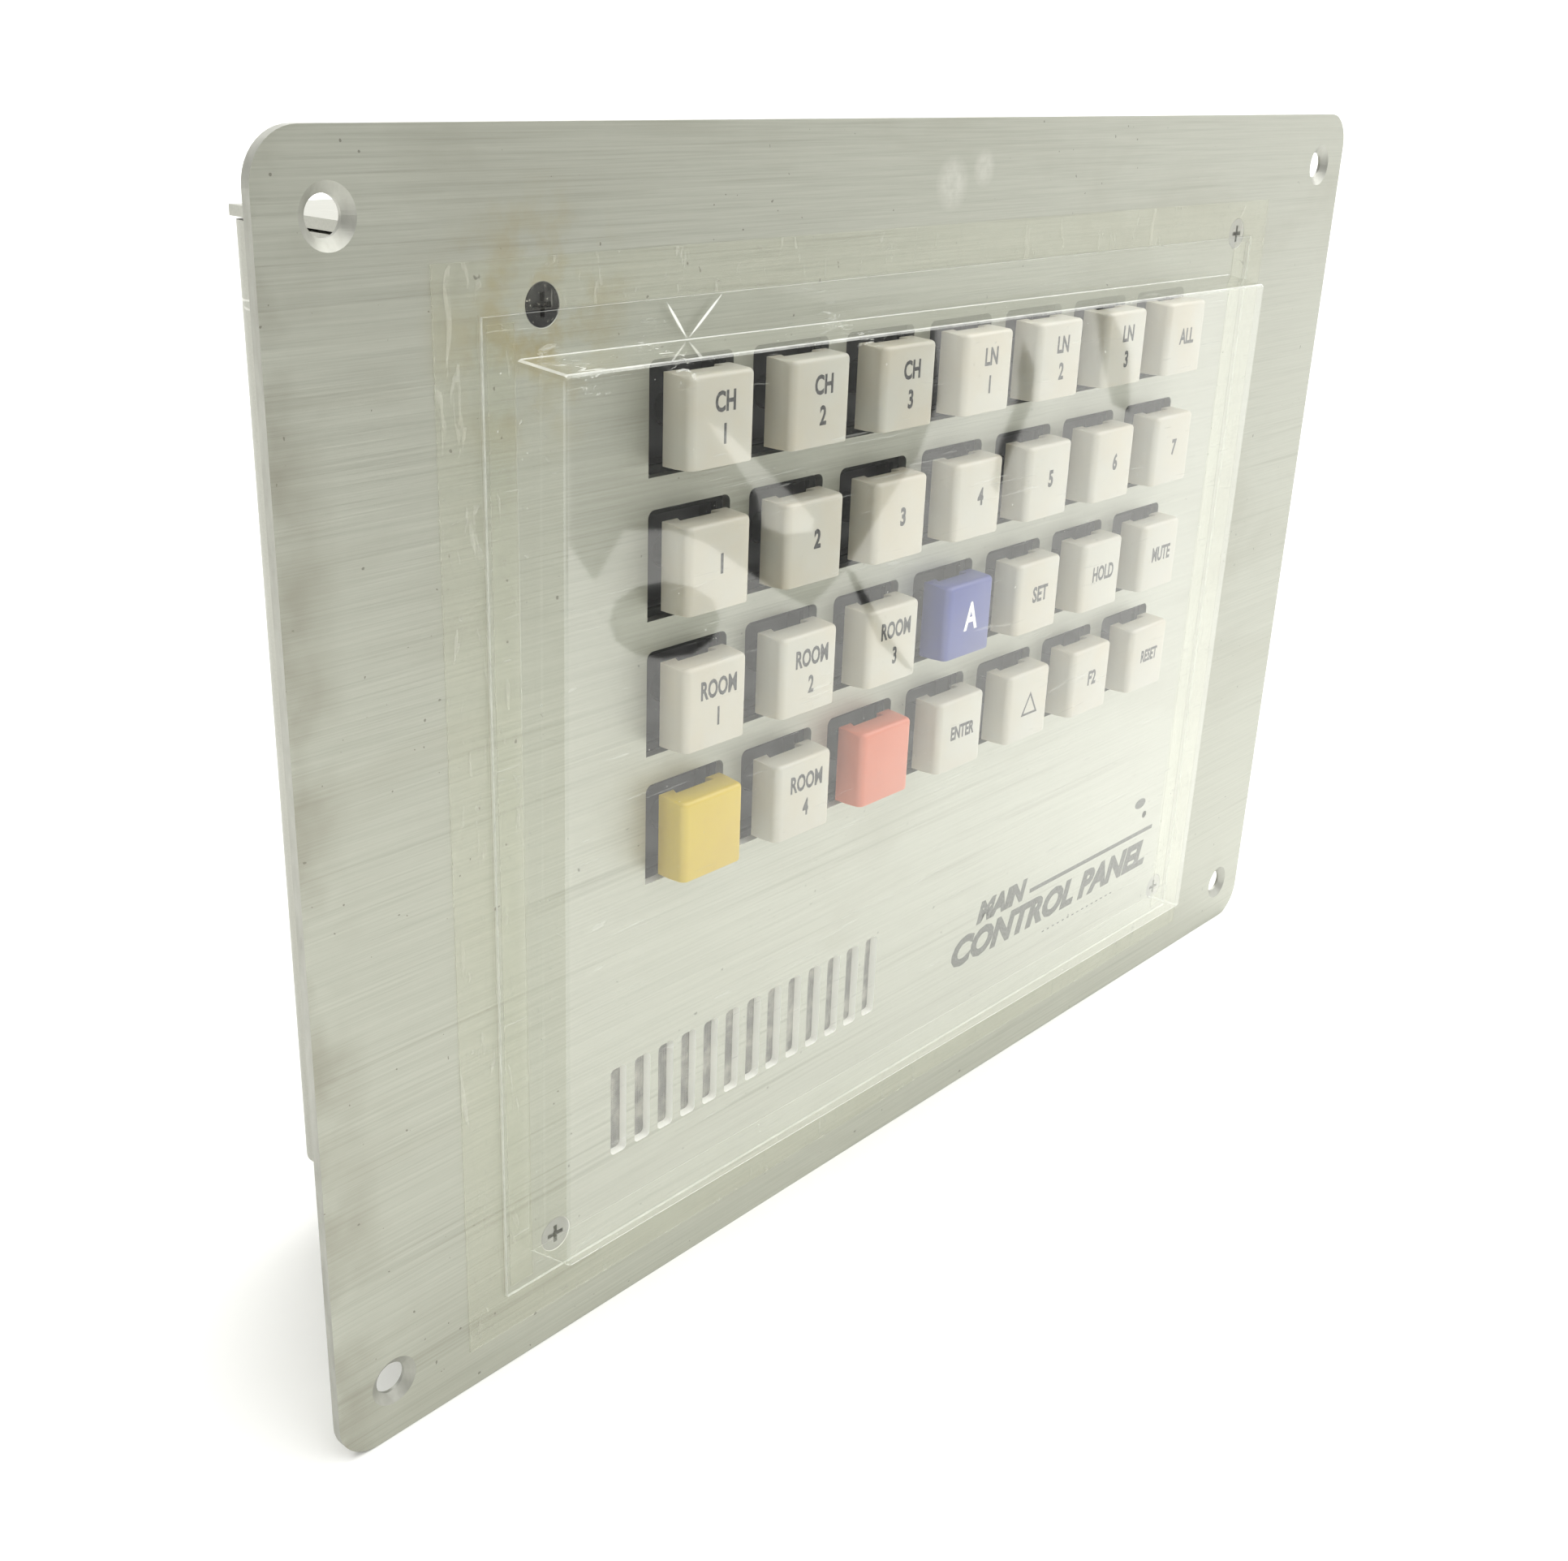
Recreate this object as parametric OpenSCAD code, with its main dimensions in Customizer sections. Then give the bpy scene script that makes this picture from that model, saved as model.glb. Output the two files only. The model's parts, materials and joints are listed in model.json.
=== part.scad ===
// Flush-mounted push-button call station: a brushed panel with 28 spring-return keys,
// a slotted loudspeaker, a microphone, a shallow rear chassis and a clear film cover.
// Origin: centre of the four mounting holes, on the panel's back face.
// +X runs to the right, -Y points at the person who uses it, +Z is up.

/* [Panel] */
// Width of the panel
plate_w = 254; // [250:0.5:260]
// Height of the panel
plate_h = 177.8; // [176:0.1:184]
// Thickness of the panel sheet
plate_t = 1.5; // [1.4:0.1:2]
// Radius of the panel's corners
plate_corner_r = 6.35; // [3:0.05:9]
// Distance from a panel edge to a mounting hole's centre
hole_inset = 9.525; // [9:0.025:10]
// Diameter of the mounting holes
hole_d = 4.8; // [4.2:0.1:5]
// Diameter of the mounting holes' countersinks
countersink_d = 7.6; // [6.5:0.1:8]

/* [Keys] */
// Distance between neighbouring keys
key_pitch = 20.32; // [19.5:0.01:20.5]
// Width and height of a key cap
cap_size = 12.7; // [12:0.1:12.8]
// How far a cap stands out of the panel
cap_proud = 6.1; // [5.4:0.1:6.6]
// How far a key can be pressed
key_travel = 3.2; // [2:0.1:3.3]
// Width of the opening round a key
opening_w = 16.3; // [15.5:0.1:16.6]
// Height of the opening round a key
opening_h = 15.8; // [15.5:0.1:16.6]

/* [Loudspeaker] */
// Number of slots in front of the loudspeaker
slot_count = 13; // [9:1:13]
// Distance between neighbouring slots
slot_pitch = 5.08; // [4.8:0.02:5.1]
// Width of a slot
slot_w = 3.3; // [2.5:0.1:3.6]
// Height of a slot
slot_h = 15.24; // [12:0.02:16]
// Diameter of the loudspeaker
speaker_d = 39.6; // [39:0.1:40]

/* [Chassis] */
// Width of the chassis behind the panel
chassis_w = 194.6; // [193:0.1:198]
// Height of the chassis
chassis_h = 151.4; // [151:0.1:154]
// Depth of the chassis behind the panel
chassis_depth = 50.8; // [50.5:0.1:53]
// Thickness of the chassis sheet
sheet_t = 1.5; // [1.2:0.1:1.6]

/* [Film cover] */
// Width of the clear cover's raised front
cover_w = 175.5; // [173:0.5:177]
// Height of the clear cover's raised front
cover_h = 130; // [126:0.5:131]
// Height of the clear cover above the panel
cover_rise = 8.5; // [7.5:0.1:12]
// Thickness of the clear film
film_t = 0.5; // [0.3:0.05:0.8]
// How far the cover was laid out of square, in degrees
cover_turn = 0.4; // [0:0.1:0.6]

/* [Hidden] */
$fn = 48;
key_rows = 4;
key_cols = 7;

// Every node of the part, in the order in which it is stacked from front to back.
FIXED_NODES = [
    "protective_cover", "cover_tape", "front_plate", "panel_studs", "panel_screws", "panel_nuts",
    "key_mask", "switch_housings", "return_springs", "key_board", "key_board_spacers",
    "speaker_cloth", "speaker_basket", "speaker_magnet", "speaker_cone", "speaker_surround",
    "speaker_clips", "mic_grommet", "microphone", "control_board", "control_board_spacers",
    "control_board_screws", "logic_chips", "capacitors", "audio_transformer", "board_headers",
    "ribbon_cable", "terminal_block", "terminal_screws", "rear_chassis", "chassis_top",
    "chassis_screws"
];
function key_name(row, col) = str("key_row", row, "_col", col);

overcut = 1;
plate_front = -plate_t;

// Key grid: row 1 is the top row and column 1 the left one.
grid_x = 0.5;
grid_z = 20.8;
function key_x(col) = grid_x + (col - (key_cols + 1) / 2) * key_pitch;
function key_z(row) = grid_z - (row - (key_rows + 1) / 2) * key_pitch;
grid_w = key_cols * key_pitch;
grid_h = key_rows * key_pitch;
opening_r = 1.2;

// Stack behind the panel, as distances from its back face.
mask_back = 0.8;
pocket_back = 3.3;
housing_back = 13.3;
key_board_back = 14.9;
control_board_front = 36;
control_board_back = 37.6;
cap_front = plate_front - cap_proud;
cap_back = plate_front - 0.85;
cap_wall = 1.3;
cap_front_wall = 1.8;
stem_d = 4.6;
stem_bore_d = 5.2;
stem_back = 5;
stem_bore_back = 12.5;
mask_opening = cap_size + 0.8;
pocket_size = cap_size + 0.9;

// Fasteners.
panel_screw_x = 87;
panel_screw_zs = [67.7, -70.2];
flat_head_d = 5.6;
thread_d = 3;
thread_hole_d = 3.3;
nut_af = 5.5;
nut_h = 2.4;
fit_gap = 0.05;
pan_head_d = 5.6;
pan_head_h = 1.8;

// Loudspeaker, microphone and slots.
slot_r = 0.8;
slot_x0 = -73.9;
slot_z = -54.2;
speaker_x = slot_x0 + (slot_count - 1) / 2 * slot_pitch;
speaker_z = -54;
speaker_rim_front = 1.9;
speaker_rim_back = 3.1;
speaker_clip_r = 24;
speaker_clip_angles = [90, 210, 330];
speaker_stud_l = 7;
mic_x = 79;
mic_z = -50.5;
mic_d = 9.7;

// Key board and its studs.
key_stud_x = 78.5;
key_stud_zs = [58, grid_z - grid_h / 2 - 2.5];
key_stud_l = key_board_back + nut_h + 1;
key_board_w = 166;
key_board_top = 69;
key_board_bottom = -27;

// Control board and its fixings, which are screwed to the chassis from behind.
control_board_w = 176;
control_board_h = 116;
control_screw_x = 81;
control_screw_z = 51;
back_inner = chassis_depth - sheet_t;
chassis_x = chassis_w / 2;
chassis_z = chassis_h / 2;
bend_r = 3;
seam = 0.4;
tab_w = 17;
tab_h = 13;
top_lip_h = 9;
top_screw_xs = [-70, 0, 70];
top_screw_z = chassis_z - sheet_t - 5.2;

// Terminal block, which looks out of the chassis's back.
terminal_count = 12;
terminal_pitch = 5.08;
terminal_x = -30;
terminal_z = -38;
terminal_h = 12.5;
terminal_back = chassis_depth - 0.4;
terminal_screw_d = 3.4;
terminal_screw_z = 2.9;

// Film cover: its raised front, its flange and the tape round it.
cover_x = -3.7;
cover_z = -4.9;
cover_draft = 0.9;
tape_t = 0.15;
flange_left = -97;
flange_right = 92;
flange_top = 67;
flange_bottom = -76;
tape_left = -104;
tape_right = 98;
tape_top = 73.5;
tape_bottom = -82.5;
tape_overlap_gap = 0.1;

// ---- shapes used by several pieces ----

// A 2D shape drawn in X and Z, given a thickness from y0 to y1.
module along_y(y0, y1) {
    translate([0, y1, 0]) rotate([90, 0, 0]) linear_extrude(y1 - y0) children();
}

// A 2D shape drawn in Y and Z, drawn out from x0 to x1.
module along_x(x0, x1) {
    translate([x0, 0, 0]) rotate([90, 0, 90]) linear_extrude(x1 - x0) children();
}

// A 2D shape drawn in X and Y, drawn out from z0 to z1.
module along_z(z0, z1) {
    translate([0, 0, z0]) linear_extrude(z1 - z0) children();
}

// A box given by its lowest and highest corners.
module block(low, high) {
    translate(low) cube(high - low);
}

// A round rod, or a cone, whose axis runs along Y.
module rod(x, z, y0, y1, d0, d1) {
    translate([x, y0, z]) rotate([-90, 0, 0]) cylinder(h = y1 - y0, d1 = d0, d2 = d1);
}

// A turned shape about an axis along Y: its 2D outline is drawn in radius and depth.
module turned(x, z) {
    translate([x, 0, z]) rotate([-90, 0, 0]) rotate_extrude() children();
}

module rounded_rect(w, h, r) {
    square([w, h - 2 * r], center = true);
    square([w - 2 * r, h], center = true);
    for (x = [-1, 1], z = [-1, 1]) translate([x * (w / 2 - r), z * (h / 2 - r)]) circle(r = r);
}

// A rectangle whose two corners on one side are rounded: that side faces -Y.
module round_nosed(w, nose, tail, r) {
    translate([-w / 2, nose + r]) square([w, tail - nose - r]);
    translate([-w / 2 + r, nose]) square([w - 2 * r, r]);
    for (x = [-1, 1]) translate([x * (w / 2 - r), nose + r]) circle(r = r);
}

// A cross recess cut into a screw head that faces -Y or +Y.
module cross_recess(x, z, y0, y1) {
    block([x - 1.5, y0, z - 0.35], [x + 1.5, y1, z + 0.35]);
    block([x - 0.35, y0, z - 1.5], [x + 0.35, y1, z + 1.5]);
}

// A flat-head screw from the front of the panel.
module flat_head_screw(x, z, length) {
    head_h = (flat_head_d - 2 * fit_gap - thread_d) / 2;
    head_front = plate_front + fit_gap;
    difference() {
        union() {
            rod(x, z, head_front, head_front + head_h, flat_head_d - 2 * fit_gap, thread_d);
            rod(x, z, head_front + head_h, head_front + length, thread_d, thread_d);
        }
        cross_recess(x, z, head_front - overcut, head_front + 0.9);
    }
}

// A pan-head screw driven towards -Y, with its head on a face at y = seat.
module pan_head_screw(x, z, seat, length) {
    difference() {
        union() {
            rod(x, z, seat - length, seat, thread_d, thread_d);
            rod(x, z, seat, seat + pan_head_h * 0.6, pan_head_d, pan_head_d);
            rod(x, z, seat + pan_head_h * 0.6, seat + pan_head_h, pan_head_d, pan_head_d * 0.7);
        }
        cross_recess(x, z, seat + 0.8, seat + pan_head_h + overcut);
    }
}

module hex_nut(x, z, y0) {
    difference() {
        translate([x, y0, z]) rotate([-90, 0, 0]) cylinder(h = nut_h, d = nut_af / cos(30), $fn = 6);
        rod(x, z, y0 - overcut, y0 + nut_h + overcut, thread_d + 2 * fit_gap, thread_d + 2 * fit_gap);
    }
}

// A tube that keeps two sheets apart, with a screw or stud through it.
module spacer(x, z, y0, y1) {
    difference() {
        rod(x, z, y0, y1, 6, 6);
        rod(x, z, y0 - overcut, y1 + overcut, thread_d + 2 * fit_gap, thread_d + 2 * fit_gap);
    }
}

// ---- the panel ----

function mounting_points() = [
    for (x = [-1, 1], z = [-1, 1]) [x * (plate_w / 2 - hole_inset), z * (plate_h / 2 - hole_inset)]
];
function panel_screw_points() = [
    for (x = [-panel_screw_x, panel_screw_x], z = panel_screw_zs) [x, z]
];
function key_stud_points() = [for (x = [-key_stud_x, key_stud_x], z = key_stud_zs) [x, z]];
function speaker_stud_points() = [
    for (a = speaker_clip_angles)
        [speaker_x + speaker_clip_r * cos(a), speaker_z + speaker_clip_r * sin(a)]
];
function slot_x(i) = slot_x0 + i * slot_pitch;

// An opening for a key, with its two upper corners rounded.
module key_opening() {
    low = -opening_h / 2;
    translate([-opening_w / 2, low]) square([opening_w, opening_h - opening_r]);
    translate([-opening_w / 2 + opening_r, low]) square([opening_w - 2 * opening_r, opening_h]);
    for (x = [-1, 1])
        translate([x * (opening_w / 2 - opening_r), opening_h / 2 - opening_r]) circle(r = opening_r);
}

module front_plate() {
    countersink_depth = 1;
    screw_sink = (flat_head_d + 2 * fit_gap - thread_hole_d) / 2;
    color([0.66, 0.67, 0.62]) difference() {
        along_y(plate_front, 0) rounded_rect(plate_w, plate_h, plate_corner_r);
        for (p = mounting_points()) {
            rod(p[0], p[1], plate_front - overcut, overcut, hole_d, hole_d);
            rod(p[0], p[1], plate_front, plate_front + countersink_depth, countersink_d, hole_d);
        }
        for (p = panel_screw_points()) {
            rod(p[0], p[1], plate_front - overcut, overcut, thread_hole_d, thread_hole_d);
            rod(p[0], p[1], plate_front, plate_front + screw_sink, flat_head_d + 2 * fit_gap,
                thread_hole_d);
        }
        for (row = [1:key_rows], col = [1:key_cols])
            along_y(plate_front - overcut, overcut) translate([key_x(col), key_z(row)]) key_opening();
        for (i = [0:slot_count - 1])
            along_y(plate_front - overcut, overcut)
                translate([slot_x(i), slot_z]) rounded_rect(slot_w, slot_h, slot_r);
        rod(mic_x, mic_z, plate_front - overcut, overcut, 1.6, 1.6);
    }
}

// Threaded studs welded to the panel's back.
module panel_studs() {
    color([0.75, 0.75, 0.73]) {
        for (p = key_stud_points()) rod(p[0], p[1], 0, key_stud_l, thread_d, thread_d);
        for (p = speaker_stud_points()) rod(p[0], p[1], 0, speaker_stud_l, thread_d, thread_d);
    }
}

module panel_screws() {
    color([0.5, 0.5, 0.48]) for (p = panel_screw_points()) flat_head_screw(p[0], p[1], 7.5);
}

// The nuts on the panel's screws and studs.
module panel_nuts() {
    color([0.75, 0.75, 0.73]) {
        for (p = panel_screw_points()) hex_nut(p[0], p[1], sheet_t);
        for (p = key_stud_points()) hex_nut(p[0], p[1], key_board_back);
        for (p = speaker_stud_points()) hex_nut(p[0], p[1], speaker_rim_back + 1.2);
    }
}

// ---- keys and switches ----

// The black sheet that shows round the caps.
module key_mask() {
    color([0.12, 0.12, 0.12]) difference() {
        along_y(0, mask_back) translate([grid_x, grid_z]) square([grid_w, grid_h], center = true);
        for (row = [1:key_rows], col = [1:key_cols])
            along_y(-overcut, mask_back + overcut)
                translate([key_x(col), key_z(row)]) square(mask_opening, center = true);
    }
}

module switch_housing(x, z) {
    size = key_pitch - 5;
    difference() {
        along_y(mask_back, housing_back) translate([x, z]) square(size, center = true);
        along_y(mask_back - overcut, pocket_back) translate([x, z]) square(pocket_size, center = true);
        rod(x, z, pocket_back - overcut, stem_bore_back, stem_bore_d, stem_bore_d);
    }
}

module switch_housings() {
    color([0.16, 0.16, 0.17])
        for (row = [1:key_rows], col = [1:key_cols]) switch_housing(key_x(col), key_z(row));
}

// Each spring is drawn at its pressed length, as closed turns at the bottom of its bore.
module return_springs() {
    turns = 4;
    wire_d = 0.5;
    coil_r = 1.95;
    first_turn = stem_back + key_travel + wire_d;
    last_turn = stem_bore_back - wire_d / 2 - fit_gap;
    step = (last_turn - first_turn) / (turns - 1);
    color([0.7, 0.7, 0.68]) for (row = [1:key_rows], col = [1:key_cols], i = [0:turns - 1])
        turned(key_x(col), key_z(row)) translate([coil_r, first_turn + i * step]) circle(d = wire_d, $fn = 16);
}

// Caps are ivory, apart from one blue, one yellow and one red.
function cap_colour(row, col) =
    row == 3 && col == 4 ? [0.20, 0.23, 0.48] :
    row == 4 && col == 1 ? [0.86, 0.70, 0.10] :
    row == 4 && col == 3 ? [0.90, 0.33, 0.24] : [0.92, 0.90, 0.84];

// One key: a square cap with a notch in the back of its skirt, and the stem it slides on.
module key(row, col) {
    side_r = 1.1;
    face_r = 0.8;
    notch_w = 6.7;
    notch_depth = 1.2;
    half = cap_size / 2;
    color(cap_colour(row, col)) translate([key_x(col), 0, key_z(row)]) {
        difference() {
            intersection() {
                along_z(-half, half) round_nosed(cap_size, cap_front, cap_back, side_r);
                along_x(-half, half) mirror([1, -1])
                    round_nosed(cap_size, cap_front, cap_back, face_r);
            }
            block([cap_wall - half, cap_front + cap_front_wall, cap_wall - half],
                  [half - cap_wall, cap_back + overcut, half - cap_wall]);
            block([-notch_w / 2, cap_back - notch_depth, 0],
                  [notch_w / 2, cap_back + overcut, half + overcut]);
        }
        rod(0, 0, cap_front + cap_front_wall / 2, stem_back, stem_d, stem_d);
    }
}

module key_board() {
    middle = (key_board_top + key_board_bottom) / 2;
    color([0.10, 0.36, 0.20]) difference() {
        along_y(housing_back, key_board_back) translate([0, middle])
            square([key_board_w, key_board_top - key_board_bottom], center = true);
        for (p = key_stud_points())
            rod(p[0], p[1], housing_back - overcut, key_board_back + overcut, thread_hole_d, thread_hole_d);
    }
}

module key_board_spacers() {
    color([0.75, 0.75, 0.73]) for (p = key_stud_points()) spacer(p[0], p[1], 0, housing_back);
}

// ---- loudspeaker and microphone ----

module speaker_cloth() {
    cloth_w = (slot_count - 1) * slot_pitch + slot_w + 6;
    color([0.22, 0.22, 0.21]) along_y(0, 0.8) translate([speaker_x, slot_z])
        square([cloth_w, slot_h + 2], center = true);
}

module speaker_basket() {
    r = speaker_d / 2;
    color([0.62, 0.62, 0.60]) difference() {
        turned(speaker_x, speaker_z) polygon([
            [r - 2.5, speaker_rim_front], [r, speaker_rim_front], [r, speaker_rim_back],
            [r - 1.5, speaker_rim_back], [14.6, 11], [7.6, 11], [7.6, 10.2], [13.8, 10.2],
            [r - 2.5, speaker_rim_back]
        ]);
        for (a = [45:90:315])
            translate([speaker_x, 7, speaker_z]) rotate([0, a, 0])
                block([12, -2.4, -4], [24, 2.4, 4]);
    }
}

module speaker_magnet() {
    color([0.25, 0.25, 0.26]) turned(speaker_x, speaker_z) polygon([
        [0, 9.6], [5.4, 9.6], [5.4, 15.6], [7, 15.6], [7, 11], [14.2, 11], [14.2, 17.4], [0, 17.4]
    ]);
}

// The paper cone with its coil former and its domed centre, which move together.
module speaker_cone() {
    color([0.15, 0.15, 0.15]) turned(speaker_x, speaker_z) polygon([
        [0, 6.9], [4, 7.3], [6, 8.1], [14.6, 1.9], [15.4, 1.9], [15.4, 2.3], [6.5, 8.9],
        [6.5, 14.4], [6, 14.4], [6, 8.8], [4, 7.8], [0, 7.4]
    ]);
}

// The half-round edge roll, with the outer lip that is clamped under the rim.
module speaker_surround() {
    r = speaker_d / 2;
    inner = 15;
    lip = r - 2.6;
    roll_r = (lip - 15.4) / 2;
    color([0.10, 0.10, 0.10]) turned(speaker_x, speaker_z) {
        translate([inner - 0.4, 1.5]) square([1.1, 0.4]);
        translate([lip - 0.3, 0.8]) square([r - lip + 0.3, speaker_rim_front - 0.8]);
        difference() {
            translate([15.4 + roll_r, 1.9]) circle(r = roll_r);
            translate([15.4 + roll_r, 1.9]) circle(r = roll_r - 0.35);
            translate([inner, 1.9]) square([4, 4]);
        }
    }
}

// Three clips that hold the loudspeaker's rim down, each on its own stud.
module speaker_clips() {
    clip_top = speaker_rim_back + 1.2;
    color([0.75, 0.75, 0.73]) for (i = [0:len(speaker_clip_angles) - 1])
        translate([speaker_x, 0, speaker_z]) rotate([0, -speaker_clip_angles[i], 0]) difference() {
            union() {
                rod(speaker_clip_r, 0, 0, clip_top, 6, 6);
                block([speaker_d / 2 - 1.2, speaker_rim_back, -2.4], [speaker_clip_r, clip_top, 2.4]);
            }
            rod(speaker_clip_r, 0, -overcut, clip_top + overcut, thread_hole_d, thread_hole_d);
        }
}

module mic_grommet() {
    color([0.08, 0.08, 0.08]) turned(mic_x, mic_z) polygon([
        [1, 0], [7, 0], [7, 6], [mic_d / 2 + fit_gap, 6], [mic_d / 2 + fit_gap, 1], [1, 1]
    ]);
}

module microphone() {
    color([0.78, 0.78, 0.76]) {
        rod(mic_x, mic_z, 1, 5.6, mic_d, mic_d);
        for (x = [-1.3, 1.3]) rod(mic_x + x, mic_z, 5.6, 9, 0.6, 0.6);
    }
}

// ---- electronics ----

function control_points() = [
    for (x = [-control_screw_x, control_screw_x], z = [-control_screw_z, control_screw_z]) [x, z]
];

module control_board() {
    color([0.10, 0.36, 0.20]) difference() {
        along_y(control_board_front, control_board_back)
            square([control_board_w, control_board_h], center = true);
        for (p = control_points())
            rod(p[0], p[1], control_board_front - overcut, control_board_back + overcut,
                thread_hole_d, thread_hole_d);
    }
}

module control_board_spacers() {
    color([0.75, 0.75, 0.73]) for (p = control_points())
        spacer(p[0], p[1], control_board_back, back_inner);
}

// Screws from the front of the control board into its spacers.
module control_board_screws() {
    color([0.75, 0.75, 0.73]) for (p = control_points())
        mirror([0, 1, 0]) pan_head_screw(p[0], p[1], -control_board_front, 6);
}

// A dual in-line chip on the front of the control board, with a notch at one end.
module chip(x, z, length, width) {
    height = 3.6;
    front = control_board_front - height;
    difference() {
        block([x - length / 2, front, z - width / 2], [x + length / 2, control_board_front, z + width / 2]);
        rod(x - length / 2, z, front - overcut, front + 0.8, 2, 2);
    }
}

module logic_chips() {
    color([0.13, 0.13, 0.14]) {
        chip(10, 30, 51, 13.6);
        chip(10, 8, 36, 13.6);
        for (i = [0:3]) chip(-58 + (i % 2) * 26, 38 - floor(i / 2) * 16, 19.6, 6.4);
    }
}

module capacitors() {
    color([0.14, 0.22, 0.42]) {
        for (i = [0:2]) rod(56 + i * 10, 34, control_board_front - 13, control_board_front, 8, 8);
        for (i = [0:1]) rod(60 + i * 13, 17, control_board_front - 17, control_board_front, 10, 10);
    }
}

module audio_transformer() {
    x = 64;
    z = -22;
    front = control_board_front - 17;
    color([0.45, 0.43, 0.40]) difference() {
        block([x - 12, front, z - 10], [x + 12, control_board_front, z + 10]);
        for (side = [-1, 1])
            block([x + side * 6.5 - 2, front - overcut, z - 5], [x + side * 6.5 + 2, front + 4, z + 5]);
    }
    color([0.75, 0.60, 0.30]) block([x - 8, front + 3, z + 10], [x + 8, control_board_front - 3, z + 12.5]);
}

ribbon_w = 25.4;
ribbon_x = -40;
header_h = 6;
ribbon_key_z = -12;
ribbon_control_z = 6;

module board_headers() {
    color([0.13, 0.13, 0.14]) {
        block([ribbon_x - ribbon_w / 2 - 2, key_board_back, ribbon_key_z - 3],
              [ribbon_x + ribbon_w / 2 + 2, key_board_back + header_h, ribbon_key_z + 3]);
        block([ribbon_x - ribbon_w / 2 - 2, control_board_front - header_h, ribbon_control_z - 3],
              [ribbon_x + ribbon_w / 2 + 2, control_board_front, ribbon_control_z + 3]);
    }
}

// The flat cable between the two boards: two quarter bends joined by a straight run.
module ribbon_cable() {
    t = 1;
    y0 = key_board_back + header_h;
    y1 = control_board_front - header_h;
    r = (y1 - y0) / 2;
    color([0.55, 0.56, 0.56]) along_x(ribbon_x - ribbon_w / 2, ribbon_x + ribbon_w / 2) {
        quarter_bend(y0, ribbon_key_z + r, r, t, 0);
        translate([y0 + r - t / 2, ribbon_key_z + r])
            square([t, ribbon_control_z - ribbon_key_z - 2 * r]);
        quarter_bend(y1, ribbon_control_z - r, r, t, 180);
    }
}

// A quarter of a ring, from a header's end to the straight run.
module quarter_bend(y, z, r, t, turn) {
    translate([y, z]) rotate(turn) intersection() {
        difference() {
            circle(r = r + t / 2);
            circle(r = r - t / 2);
        }
        translate([0, -2 * r]) square([2 * r, 2 * r]);
    }
}

function terminal_xs() = [
    for (i = [0:terminal_count - 1]) terminal_x + (i - (terminal_count - 1) / 2) * terminal_pitch
];

module terminal_block() {
    half_w = terminal_count * terminal_pitch / 2;
    port = 2.8;
    color([0.10, 0.32, 0.18]) difference() {
        block([terminal_x - half_w, control_board_back, terminal_z - terminal_h / 2],
              [terminal_x + half_w, terminal_back, terminal_z + terminal_h / 2]);
        for (x = terminal_xs()) {
            rod(x, terminal_z + terminal_screw_z, terminal_back - 4, terminal_back + overcut,
                terminal_screw_d + 0.4, terminal_screw_d + 0.4);
            block([x - port / 2, terminal_back - 7, terminal_z - 4.4],
                  [x + port / 2, terminal_back + overcut, terminal_z - 4.4 + port]);
        }
    }
}

module terminal_screws() {
    color([0.75, 0.75, 0.73]) for (x = terminal_xs()) difference() {
        rod(x, terminal_z + terminal_screw_z, terminal_back - 4, terminal_back - 1.2,
            terminal_screw_d, terminal_screw_d);
        block([x - 2, terminal_back - 2, terminal_z + terminal_screw_z - 0.3],
              [x + 2, terminal_back, terminal_z + terminal_screw_z + 0.3]);
    }
}

// ---- chassis ----

// The chassis's side view: open in front, with a bend where the bottom meets the back.
module chassis_side_view(inset, front, top) {
    low = inset - chassis_z;
    back = chassis_depth - inset;
    r = bend_r - inset;
    translate([front, low + r]) square([back - front, top - low - r]);
    translate([front, low]) square([back - r - front, r]);
    translate([back - r, low + r]) circle(r = r);
}

// The chassis's plan view, with bends where the sides meet the back.
module chassis_plan_view(inset, front) {
    half = chassis_x - inset;
    back = chassis_depth - inset;
    r = bend_r - inset;
    translate([-half, front]) square([2 * half, back - r - front]);
    translate([r - half, front]) square([2 * (half - r), back - front]);
    for (side = [-1, 1]) translate([side * (half - r), back - r]) circle(r = r);
}

module chassis_form(inset, front, top) {
    intersection() {
        along_x(-chassis_x, chassis_x) chassis_side_view(inset, front, top);
        along_z(-chassis_z, chassis_z) chassis_plan_view(inset, front);
    }
}

module vent_slots() {
    rows = [20, 34, 48];
    for (side = [-1, 1], i = [-3:3], z = rows)
        along_y(back_inner - overcut, chassis_depth + overcut)
            translate([side * 45 + i * 6, z]) rounded_rect(2.4, 10, 1.1);
}

// The folded tray: back, bottom and sides, with two tabs behind the panel.
module rear_chassis() {
    half_w = terminal_count * terminal_pitch / 2 + 1;
    half_h = terminal_h / 2 + 1;
    back_holes = concat(control_points(), [for (x = top_screw_xs) [x, top_screw_z]]);
    color([0.80, 0.80, 0.77]) difference() {
        union() {
            difference() {
                chassis_form(0, 0, chassis_z - sheet_t - seam);
                chassis_form(sheet_t, -overcut, chassis_z);
            }
            for (side = [-1, 1]) chassis_tab(side * panel_screw_x, -chassis_z, tab_h - chassis_z);
        }
        for (x = [-panel_screw_x, panel_screw_x])
            rod(x, panel_screw_zs[1], -overcut, sheet_t + overcut, thread_hole_d, thread_hole_d);
        for (p = back_holes)
            rod(p[0], p[1], back_inner - overcut, chassis_depth + overcut, thread_hole_d, thread_hole_d);
        block([terminal_x - half_w, back_inner - overcut, terminal_z - half_h],
              [terminal_x + half_w, chassis_depth + overcut, terminal_z + half_h]);
        vent_slots();
    }
}

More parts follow.
